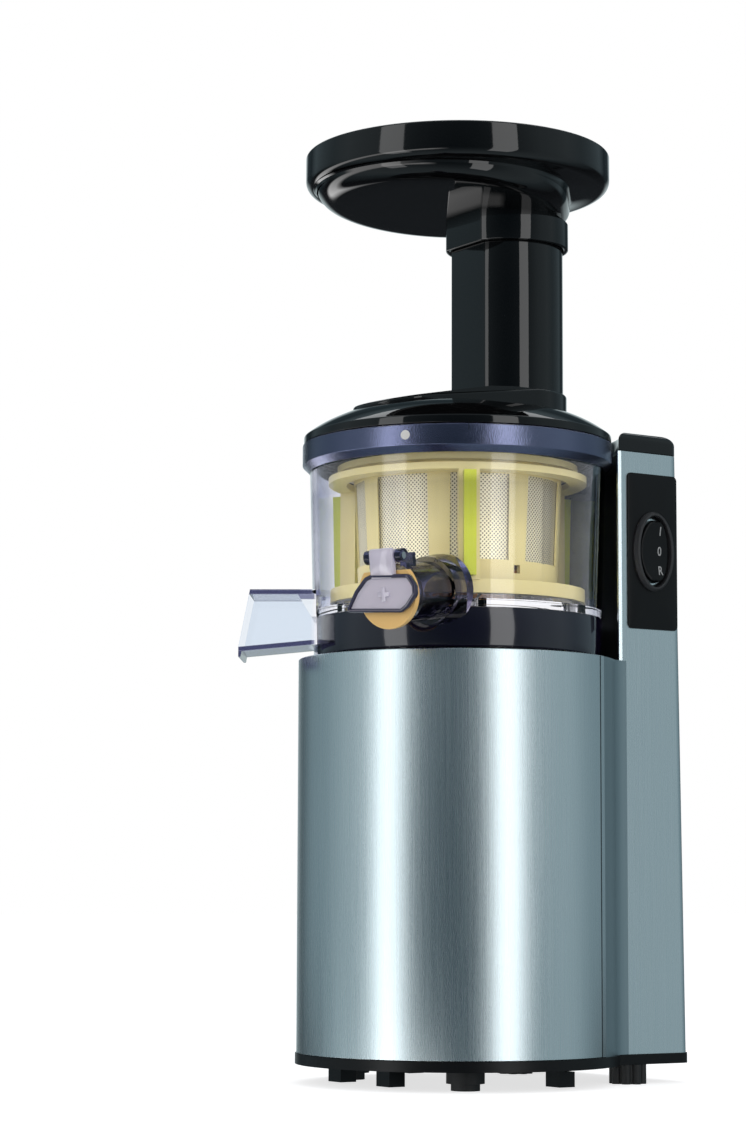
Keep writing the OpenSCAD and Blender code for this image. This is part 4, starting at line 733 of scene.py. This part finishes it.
for solid in node.values():
    for place_in_list, old in enumerate(solid.data.materials):
        solid.data.materials[place_in_list] = finishes[old.name.split(".")[0]]
print("finishes in all:", len(finishes))

# %% [markdown]
# The drum's steel wrap
#
# On the real machine a sheet one millimetre thick is rolled round the drum and hooked
# into two upright seams beside the column. A section of the sheet, with its edges
# rolled over, is carried round the axis. Behind each seam comes a narrow hem, and from
# there the steel turns in a hollow round into the column's side: a section in plan,
# tangent to the drum and to the side, drawn straight up.

# %% The drum's steel wrap
def carried(section, degrees):
    """Rings of a section of points (r, z), one ring for each angle round the drum's axis."""
    a = np.radians(np.asarray(degrees, float))[:, None]
    r, z = np.asarray(section, float).T
    return np.stack([r * np.cos(a), r * np.sin(a), np.broadcast_to(z, (len(a), len(z)))], -1)


STEEL_LOW, STEEL_TOP, DRUM_R = 13.0, 186.0, 71.0
sheet = softened([(70, STEEL_LOW), (DRUM_R, STEEL_LOW), (DRUM_R, STEEL_TOP), (70, STEEL_TOP)],
                 [0.3, 0.45, 0.6, 0.3], 5, closed=True)
SEAM = 25.6
fit("drum_wrap", [(carried(sheet, np.linspace(180 - SEAM, 360 + SEAM, 241)), False)],
    "stand", "brushed_steel", ["front_wrap"])
hem = softened([(69.9, STEEL_LOW), (70.95, STEEL_LOW), (70.95, STEEL_TOP), (69.9, STEEL_TOP)],
               [0.3, 0.3, 0.5, 0.3], 4, closed=True)
fit("seam_hems", [(carried(hem, np.linspace(*ends, 7)), False)
                  for ends in ((SEAM + 0.9, 29.2), (150.8, 179.1 - SEAM))], "stand", "brushed_steel")

# %% The hollow rounds between drum and column
HOLLOW, SIDE, ROUND_R = 70.4, 48.06, 12.0
round_y = np.sqrt((HOLLOW + ROUND_R) ** 2 - (SIDE + ROUND_R) ** 2)
meets = np.arctan2(round_y, SIDE + ROUND_R)


def hollow_round(side):
    """Section in plan: along the drum, round a circle that touches drum and column side, and back.

    The circle's centre lies at R + r from the drum's axis and r beside the column.
    """
    on_drum = np.linspace(np.radians(30.0), meets, 10)[:-1]
    on_round = np.pi + np.linspace(meets, 0, 14)
    outer = np.vstack([
        HOLLOW * unit(on_drum),
        [SIDE + ROUND_R, round_y] + ROUND_R * unit(on_round),
        [[SIDE, round_y + 1.5]],
    ])
    inner = (outer - [0.4, 0.0])[::-1]
    return np.vstack([outer, inner]) * [side, 1]


rounds = [([at_height(hollow_round(side), z) for z in np.linspace(STEEL_LOW, STEEL_TOP - 0.2, 12)], False)
          for side in (1, -1)]
# The hollow rounds take the darker copy of the steel, as painted shade where they turn in beside the column.
fit("corner_sheets", rounds, "stand", "brushed_steel", sharp=50, finish="painted_shade_steel")

# %% [markdown]
# The column's wrap
#
# The column is clothed by one bent sheet, open towards the drum. Its two front edges are
# folded back into a hem, and that hem catches the light as a thin bright line. The
# section of the sheet is the same all the way up, only its rear leans forward a little,
# so the rings are that section at even heights.

# %% The column's wrap
COLUMN_HALF, COLUMN_BACK, CORNER, LEAN = 48.0, 93.0, 5.5, np.tan(np.radians(0.8))
COLUMN_TOP, LINER_R = 280.0, 72.5
FRONT_EDGE = np.sqrt(LINER_R**2 - COLUMN_HALF**2)


def column_sheet(z):
    """Section of the bent sheet at height z: outer path, hem, inner path, hem, all closed."""
    back = COLUMN_BACK - (z - STEEL_LOW) * LEAN
    w, f = COLUMN_HALF, FRONT_EDGE
    half = [(w - 1.9, f), (w - 0.62, f), (w - 0.12, f + 1.6), (w, back)]
    inner = [(w - 1, back - 1), (w - 1, f + 3.4), (w - 1.9, f + 2.6)]
    mirror = lambda side: [(-x, y) for x, y in side[::-1]]
    outline = half + mirror(half) + mirror(inner) + inner
    radii = [0.5, 0.3, 0.5, CORNER, CORNER, 0.5, 0.3, 0.5, 0.4, 0.4, CORNER - 1, CORNER - 1, 0.4, 0.4]
    return at_height(softened(outline, radii, 9, closed=True), z)


heights = np.linspace(STEEL_LOW, COLUMN_TOP, 24)
fit("column_wrap_hemmed", [([column_sheet(z) for z in heights], False)],
    "stand", "brushed_steel", ["column_wrap"])

# %% [markdown]
# The column's cap
#
# A moulded cap closes the column. Its outline is that of the column with the hollow
# front, and its top edge rolls over by about four millimetres, more at the rear. Each
# ring is the outline drawn inwards by a (1 - cos t) and lowered by b (1 - sin t).

# %% The column's cap
def column_outline(inset, back):
    """The column's outline drawn inwards: hollow front on a circle, straight sides, round rear."""
    w = COLUMN_HALF - inset
    arc_r = LINER_R + inset
    edge = np.arcsin(w / arc_r)
    a = np.linspace(-edge, edge, 33)
    front = np.column_stack([arc_r * np.sin(a), arc_r * np.cos(a)])
    rear = softened([(w, front[-1, 1]), (w, back - inset), (-w, back - inset), (-w, front[0, 1])],
                    [0, CORNER - inset * 0.5, CORNER - inset * 0.5, 0], 10)
    return np.vstack([front, rear[1:-1]])


CAP_TOP, cap_back = 289.0, COLUMN_BACK - (COLUMN_TOP - STEEL_LOW) * LEAN
EDGE_IN, EDGE_DOWN, REAR_MORE = 3.6, 4.2, 2.2
cap_rings = [at_height(column_outline(0.5, cap_back), COLUMN_TOP),
             at_height(column_outline(0.0, cap_back), COLUMN_TOP + 0.5)]
for t in np.linspace(0, np.pi / 2, 10):
    flat = column_outline(EDGE_IN * (1 - np.cos(t)), cap_back - REAR_MORE * (1 - np.cos(t)))
    cap_rings.append(at_height(flat, CAP_TOP - EDGE_DOWN * (1 - np.sin(t))))
fit("cap_cover", [(cap_rings, False)], "stand", "gloss_black", ["column_cap"], sharp=40)

# %% [markdown]
# The lid and its feed tube
#
# The lid is moulded in one: a skirt that drops into the bowl, an upright band, a low
# dome with a full shoulder over an inside that is part of a ball, an egg-shaped boss that
# falls towards the front, and the feed tube with its flat side. The outside is followed
# from the skirt up to the rim of the tube and then the inside back down, as one closed
# skin, because circle, egg and flat-sided outline have their points matched by direction.
# At the front the boss runs out into the dome on a long round, shorter at its sides.

# %% Outlines of the lid
TUBE, BALL_R, BALL_Z = np.array([0.0, 27.8]), 184.1, 115.75


def over_ball(flat, drop=0.0):
    """Heights of a ball over points in plan: z = middle + sqrt((R - drop)^2 - x^2 - y^2)."""
    return BALL_Z + np.sqrt((BALL_R - drop) ** 2 - (flat**2).sum(1))


def over_dome(flat):
    """Heights of the dome over points in plan: 286.35 + 13.5 (1 - (r / 69.2)^4)."""
    return 286.35 + 13.5 * (1 - ((flat**2).sum(1) / 69.2**2) ** 2)


def tube_outline(r, flat, corner=2.2):
    """The feed tube's outline about its own middle, with its flat side towards the front."""
    shape = flat_sided(r, flat, corner)
    return np.roll(shape[::-1], 1, axis=0) * [1, -1] + TUBE


def boss_outline(grow):
    """Egg round the tube and a smaller circle in front, grown outwards by so much."""
    return egg(27.1 + grow, TUBE, 22.0 + grow, (0.0, -30.0))


def boss_top(flat):
    """Height of the boss: level behind the tube's flat and falling 10.8 degrees before it."""
    return 308.5 + np.minimum(flat[:, 1] - 5.8, 0) * np.tan(np.radians(10.8))


def between(a, b, steps, height, *more):
    """Rings on a surface height(plan), with the plan going in steps from outline a to b."""
    out = []
    for t in np.linspace(0, 1, steps + 2)[1:-1]:
        flat = (1 - t) * a + t * b
        out.append(at_height(flat, height(flat, *more)))
    return out


def over_edge(a, b, steps, z, lift):
    """Rings from outline a over a half-round edge to outline b, at z + lift sin t."""
    out = []
    for t in np.linspace(0, np.pi, steps):
        blend = (1 - np.cos(t)) / 2
        out.append(at_height((1 - blend) * a + blend * b, z + lift * np.sin(t)))
    return out


n_all = directions()
TUBE_OUT, TUBE_IN, TUBE_TOP, SHELL = (25.5, 22.0), (22.9, 19.4, 1.5), 388.0, 2.6
print("the tube's outline spans", np.ptp(tube_outline(*TUBE_OUT), axis=0).round(1), "mm")

# %% The lid's skin
skirt = softened([(60, 287.05), (63.6, 285.75), (63.6, 277), (66.65, 277), (66.65, 282.85),
                  (69.2, 282.85), (69.2, 286.35), (67.5, 287.63)], [0, 1, 0.6, 0.6, 0.4, 0.5, 1.0, 0], 7)
rings = turned(skirt)
front = np.maximum(-n_all[:, 1:], 0) ** 2
runs_out = 2.6 + 7 * front
rings += between(67.5 * n_all, boss_outline(runs_out), 24, over_dome)
BOSS_EDGE = 1.4
rise = np.minimum(2.4, 0.9 * (boss_top(boss_outline(0)) - BOSS_EDGE - over_dome(boss_outline(0))))
for t in np.linspace(0, np.pi / 2, 10):
    flat = boss_outline(runs_out * (1 - np.sin(t)))
    rings.append(at_height(flat, over_dome(flat) + rise * (1 - np.cos(t))))
for t in np.linspace(0, np.pi / 2, 8):
    flat = boss_outline(-BOSS_EDGE * (1 - np.cos(t)))
    rings.append(at_height(flat, boss_top(flat) - BOSS_EDGE * (1 - np.sin(t))))
outer_tube, inner_tube = tube_outline(*TUBE_OUT), tube_outline(*TUBE_IN)
rings += between(boss_outline(-BOSS_EDGE), outer_tube, 4, boss_top)
rings.append(at_height(outer_tube, boss_top(outer_tube)))
rings += [at_height(outer_tube, z) for z in (330.0, 355.0)]
rings += over_edge(outer_tube, inner_tube, 9, TUBE_TOP - 1, 1)
rings += [at_height(inner_tube, z) for z in (355.0, 330.0, 310.0, over_ball(inner_tube, SHELL))]
rings += between(inner_tube, 60 * n_all, 8, over_ball, SHELL)
hub = softened([(5.8, 282.85), (7.6, 282.85), (7.6, 297.5), (5.8, 297.5)], 0.3, 3, closed=True)
fit("lid_with_tube", [(rings, True), (turned(hub, 64), True)], "top_lid", "gloss_black", ["lid"], sharp=32)

# %% [markdown]
# The hopper
#
# The loading tray is a shallow dish with a high rim. Its floor drops into a trough of egg
# outline that slopes to the feed tube, and below that a sleeve slips over the tube. The
# skin runs up the outside and down the inside, as with the lid. The dish turns into the
# trough on generous radii, which gives the broad soft reflections on its underside.

# %% Outlines of the hopper
RIM_R, RIM_TOP, LEDGE = 69.0, 415.5, 400.0


def trough_outline(grow):
    """Egg round a wide circle in front and the sleeve's circle at the tube, grown by so much."""
    return egg(57.0 + grow, (0.0, -8.5), 28.85 + grow, TUBE)


def slope(flat, lift=0.0):
    """The trough's floor: 389 mm high at the tube's middle, rising 3 degrees to the front."""
    return 389.0 + lift + (TUBE[1] - flat[:, 1]) * np.tan(np.radians(3.0))


def rolled(steps, start, reach, *lift):
    """A quarter-round from slope to wall; the trough's outline is drawn in by reach (1 - sin t)."""
    out = []
    for t in np.linspace(0, np.pi / 2, steps):
        flat = trough_outline(start - reach * (1 - np.sin(t)))
        out.append(at_height(flat, slope(flat, *lift) + reach * 0.85 * (1 - np.cos(t))))
    return out


sleeve_out, sleeve_in = tube_outline(28.05, 24.55, 3.0), tube_outline(25.85, 22.35, 2.4)
chute = tube_outline(*TUBE_IN)
print("the trough spans", np.ptp(trough_outline(0), axis=0).round(1), "mm")

# %% The hopper's skin
SLEEVE_LOW, SEAT, TRAY_FLOOR, FLOOR_T = 376.0, 388.35, 402.5, 2.5
ledge = softened([(60, LEDGE), (RIM_R, LEDGE), (RIM_R, RIM_TOP), (66.5, RIM_TOP), (66.5, TRAY_FLOOR),
                  (60, TRAY_FLOOR)], [0, 5.5, 1.0, 0.8, 2.5, 0], 8)
hopper_rings = [at_height(sleeve_in, z) for z in (SEAT, SLEEVE_LOW + 0.5)]
hopper_rings += over_edge(sleeve_in, sleeve_out, 7, SLEEVE_LOW + 0.5, -0.5)
hopper_rings.append(at_height(sleeve_out, slope(sleeve_out)))
hopper_rings += between(sleeve_out, trough_outline(-9), 4, slope) + rolled(9, 0.0, 9.0)
hopper_rings += [at_height(trough_outline(grow), LEDGE - d) for grow, d in ((0.0, 1.6), (0.5, 0.5), (1.6, 0))]
hopper_rings += turned(ledge[1:-1])
hopper_rings += [at_height(trough_outline(-d), z) for d, z in ((1.0, TRAY_FLOOR), (2.0, 402.0), (2.5, 400.8))]
hopper_rings += rolled(8, -2.5, 6.5, FLOOR_T)[::-1] + between(trough_outline(-9), chute, 3, slope, FLOOR_T)
hopper_rings += [at_height(chute, z) for z in (slope(chute, FLOOR_T), SEAT)]
fit("hopper_tray", [(hopper_rings, True)], "feed_hopper", "gloss_black", ["hopper"], sharp=32)

# %% [markdown]
# The bowl's band, foot and marks
#
# The bowl itself is the measured solid in its clear finish. Over its top edge lies the
# frosted band, and round its foot the dark one, which stops on both sides of the pulp
# spout. A white dot and a fine upright line on the band show where lid and bowl lock;
# each is a small patch bent to the band's radius.

# %% Band, foot, dot and line
BAND_R = 69.78


def patch(middle, z, outline, lift):
    """A raised mark on the band: its outline is wrapped round, u / BAND_R being the angle."""
    rings = []
    for grow, out in ((1.0, -0.3), (1.0, lift * 0.4), (0.86, lift), (0.05, lift * 1.1)):
        a = np.radians(middle) + outline[:, 0] * grow / BAND_R
        rings.append(at_height((BAND_R + out) * unit(a), z + outline[:, 1] * grow))
    return rings


band_section = softened([(66.2, 270.6), (66.65, 270.6), (BAND_R, 273.5), (BAND_R, 282.56), (67.3, 282.56),
                         (67.3, 274)], [0.1, 1.2, 0.5, 0.7, 0.2, 0.2], 6, closed=True)
fit("frosted_band", [(turned(band_section, 240), True)],
    "juicing_bowl", "smoke_clear", finish="frosted_violet")
foot_section = softened([(63.9, 187.1), (64.3, 187.1), (64.78, 204.0), (64.38, 204.0)], 0.12, 3, closed=True)
fit("foot_band", [(carried(foot_section, np.linspace(-108.8, 218.8, 200)), False)],
    "juicing_bowl", "smoke_clear", finish="foot_violet")
fit("lock_dot", [(patch(-53.7, 277.9, 2.05 * directions(32), 0.12), False)],
    "juicing_bowl", "white_acetal")
fit("lock_line", [(patch(-31.0, 280.9, rounded_box(0.14, 1.5, 0.1, 24), 0.05), False)],
    "juicing_bowl", "satin_black")

# %% [markdown]
# The cap of the juice spout
#
# The cap is a flat leaf on a hinge above the spout. It is drawn in the spout's own frame:
# x runs down, y to the right and z out along the spout, which heads 20 degrees from the
# front towards +X and falls by 8. The clear leaf lies in a thick dark edge, as a moulding
# shows its edge dark where the light runs along inside it. A tab and a bored knuckle
# carry it.

# %% The spout's frame
HEAD, FALL = np.radians(-70.0), np.radians(8.0)
level = np.array([*unit(HEAD), 0.0])
OUT = level * np.cos(FALL) - [0, 0, np.sin(FALL)]
DOWN = -level * np.sin(FALL) - [0, 0, np.cos(FALL)]
ROOT = np.array([*(67 * unit(np.radians(-44))), 211.0])


def at_spout(outline, z):
    """An outline (x down, y right) of the spout's frame at z along it, in the drum's frame."""
    side = np.array([-np.sin(HEAD), np.cos(HEAD), 0.0])
    return ROOT + outline[:, :1] * DOWN + outline[:, 1:] * side + np.reshape(z, (-1, 1)) * OUT


def drawn_in(outline, inset):
    """An outline moved inwards: each point goes by inset along the normal of its two neighbours."""
    along = np.roll(outline, -1, axis=0) - np.roll(outline, 1, axis=0)
    normal = np.column_stack([along[:, 1], -along[:, 0]]) / np.linalg.norm(along, axis=1)[:, None]
    turns = np.sign((normal * (outline - outline.mean(0))).sum())
    return outline - inset * turns * normal


print("the spout heads", OUT.round(3))

# %% Leaf, edge, tab and knuckle
leaf = softened([(-8.8, -5.3), (-7.8, 13.4), (-3, 16.4), (1, 16.4), (6, 11.8), (8, 8.4),
                 (6.5, -18.6), (5, -19.6), (-2.3, -14.6), (-7.6, -9.1)],
                [3, 3, 3, 3, 4, 3, 1.2, 1.2, 5, 4], 5, closed=True)
edge_section = [(0.4, 33.2), (0.0, 33.6), (0.0, 35.7), (0.5, 36.2), (1.3, 36.2), (1.7, 35.6), (1.7, 33.4),
                (1.3, 33.2)]
fit("cap_edge", [([at_spout(drawn_in(leaf, d), z) for d, z in edge_section], True)],
    "spout_cap", "smoke_clear", ["juice_cap"], sharp=50, finish="edge_violet")
tab = rounded_box(6.4, 5.9, 1.6, 48) - [12.8, 0]
bore = directions(32)
knuckle = [at_spout(np.column_stack([-15.7 + r * bore[:, 0], np.full(32, y)]), 32 + r * bore[:, 1])
           for r, y in [(1.8, -5.9), (2.7, -5.9), (2.9, -5.6), (2.9, 5.6), (2.7, 5.9), (1.8, 5.9)]]
plus = softened([(1, 3), (1, 1), (3, 1), (3, -1), (1, -1), (1, -3), (-1, -3), (-1, -1), (-3, -1), (-3, 1),
                 (-1, 1), (-1, 3)], 0.3, 3, closed=True)
fit("cap_leaf", [
    ([at_spout(drawn_in(leaf, 1.5), z) for z in (33.5, 35.4)], False),
    ([at_spout(drawn_in(tab, d), z) for d, z in [(0.5, 33.2), (0, 33.6), (0, 35.7), (0.5, 36.15)]], False),
    ([at_spout(plus * k, z) for k, z in [(1, 35.3), (1, 35.8), (0.86, 36.0)]], False),
    (knuckle, True)], "spout_cap", "smoke_clear", sharp=50, finish="lavender_clear")

# %% [markdown]
# The switch
#
# A thin plate, an oval bezel whose profile is a rounded bead with a dark well inside it,
# and a rocker with a hollow face. All of them lie in planes across the X axis. The
# rocker's marks, 1, 0 and R, are letters turned into meshes and laid on the hollow face,
# so that they tilt with it.

# %% Plate and bezel
SWITCH_Y, SWITCH_Z = 73.0, 235.5


def sideways(outline, x):
    """An outline drawn on the column's side: its first number runs along Y, its second up."""
    x = np.broadcast_to(x, len(outline))
    return np.column_stack([x, SWITCH_Y + outline[:, 0], SWITCH_Z + outline[:, 1]])


def oval(half_w, half_h):
    """An ellipse with the given half axes."""
    return directions(96) * [half_w, half_h]


plate_rings = [sideways(rounded_box(14.1 - d, 35.1 - d, 2.2 - d), x)
               for d, x in [(0.3, 47.3), (0.0, 47.6), (0.0, 48.35), (0.08, 48.55), (0.3, 48.65)]]
hole = [sideways(rounded_box(9.0, 16.2, 8.9), x) for x in (48.65, 47.3)]
fit("switch_plate_smooth", [(plate_rings + hole, True)], "stand", "satin_black", ["switch_plate"], sharp=40)
bead = softened([(0, 48.62), (0, 49.6), (1.3, 51.2), (2.7, 51.4), (2.75, 48.62)], [0, 0.6, 1.2, 0.8, 0], 8)
fit("switch_bezel_bead", [([sideways(oval(11.5 - d, 18.0 - d * 0.72), x) for d, x in bead], True)],
    "stand", "satin_black", ["switch_bezel"], sharp=40, finish="dark_inner_plastic")
well_outer, well_inner = oval(9.0, 16.2), oval(8.3, 15.0)
well = [(well_outer, 48.06), (well_outer, 48.2), (well_inner, 48.2), (well_inner, 48.06)]
fit("switch_well", [([sideways(*ring) for ring in well], True)], "stand", "satin_black")

# %% Rocker and its marks
def rocker_face(v):
    """Height of the rocker's face at v above its middle: hollow on one circle, round at the ends."""
    hollow = 108.0 - np.sqrt(57.9**2 - v**2)
    ends = 44.6 + np.sqrt(np.maximum(15.0**2 - v**2, 1.0)) - 0.25
    return np.minimum(hollow, ends)


face = oval(7.95, 14.2)
rocker_rings = [sideways(oval(7.0, 9.0), 45.4), sideways(oval(7.7, 12.6), 46.4), sideways(face, 48.0)]
rolled_edge = [(1.0, 0.9), (0.985, 0.45), (0.95, 0.12)]
for grow, drop in rolled_edge + [(grow, 0.0) for grow in (0.9, 0.75, 0.6, 0.45, 0.3, 0.15, 0.02)]:
    flat = face * grow
    rocker_rings.append(sideways(flat, np.maximum(rocker_face(flat[:, 1]) - drop, 48.2)))
fit("rocker_smooth", [(rocker_rings, False)], "rocker", "satin_black", ["switch_rocker"], sharp=50)
for letter, v in (("1", 9.0), ("0", 0.0), ("R", -8.8)):
    drawn = put("letter", bpy.data.curves.new("letter", "FONT"))
    drawn.data.body, drawn.data.size, drawn.data.extrude, drawn.data.offset = letter, 5.6, 0.06, 0.09
    drawn.data.align_x, drawn.data.align_y = "CENTER", "CENTER"
    bpy.context.view_layer.update()
    mark = put("mark_" + letter, bpy.data.meshes.new_from_object(drawn))
    bpy.data.objects.remove(drawn)
    flat = np.empty(len(mark.data.vertices) * 3)
    mark.data.vertices.foreach_get("co", flat)
    flat = flat.reshape(-1, 3)
    at = sideways(flat[:, :2] * [0.8, 1] + [2.6, v], 0.0)
    at[:, 0] = rocker_face(flat[:, 1] + v) + flat[:, 2]
    mark.data.vertices.foreach_set("co", placed(at).ravel())
    mark.data.materials.clear()
    mark.data.materials.append(finishes["printed_grey"])
    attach(mark, "rocker")
    print("mark", letter, len(mark.data.polygons), "faces")
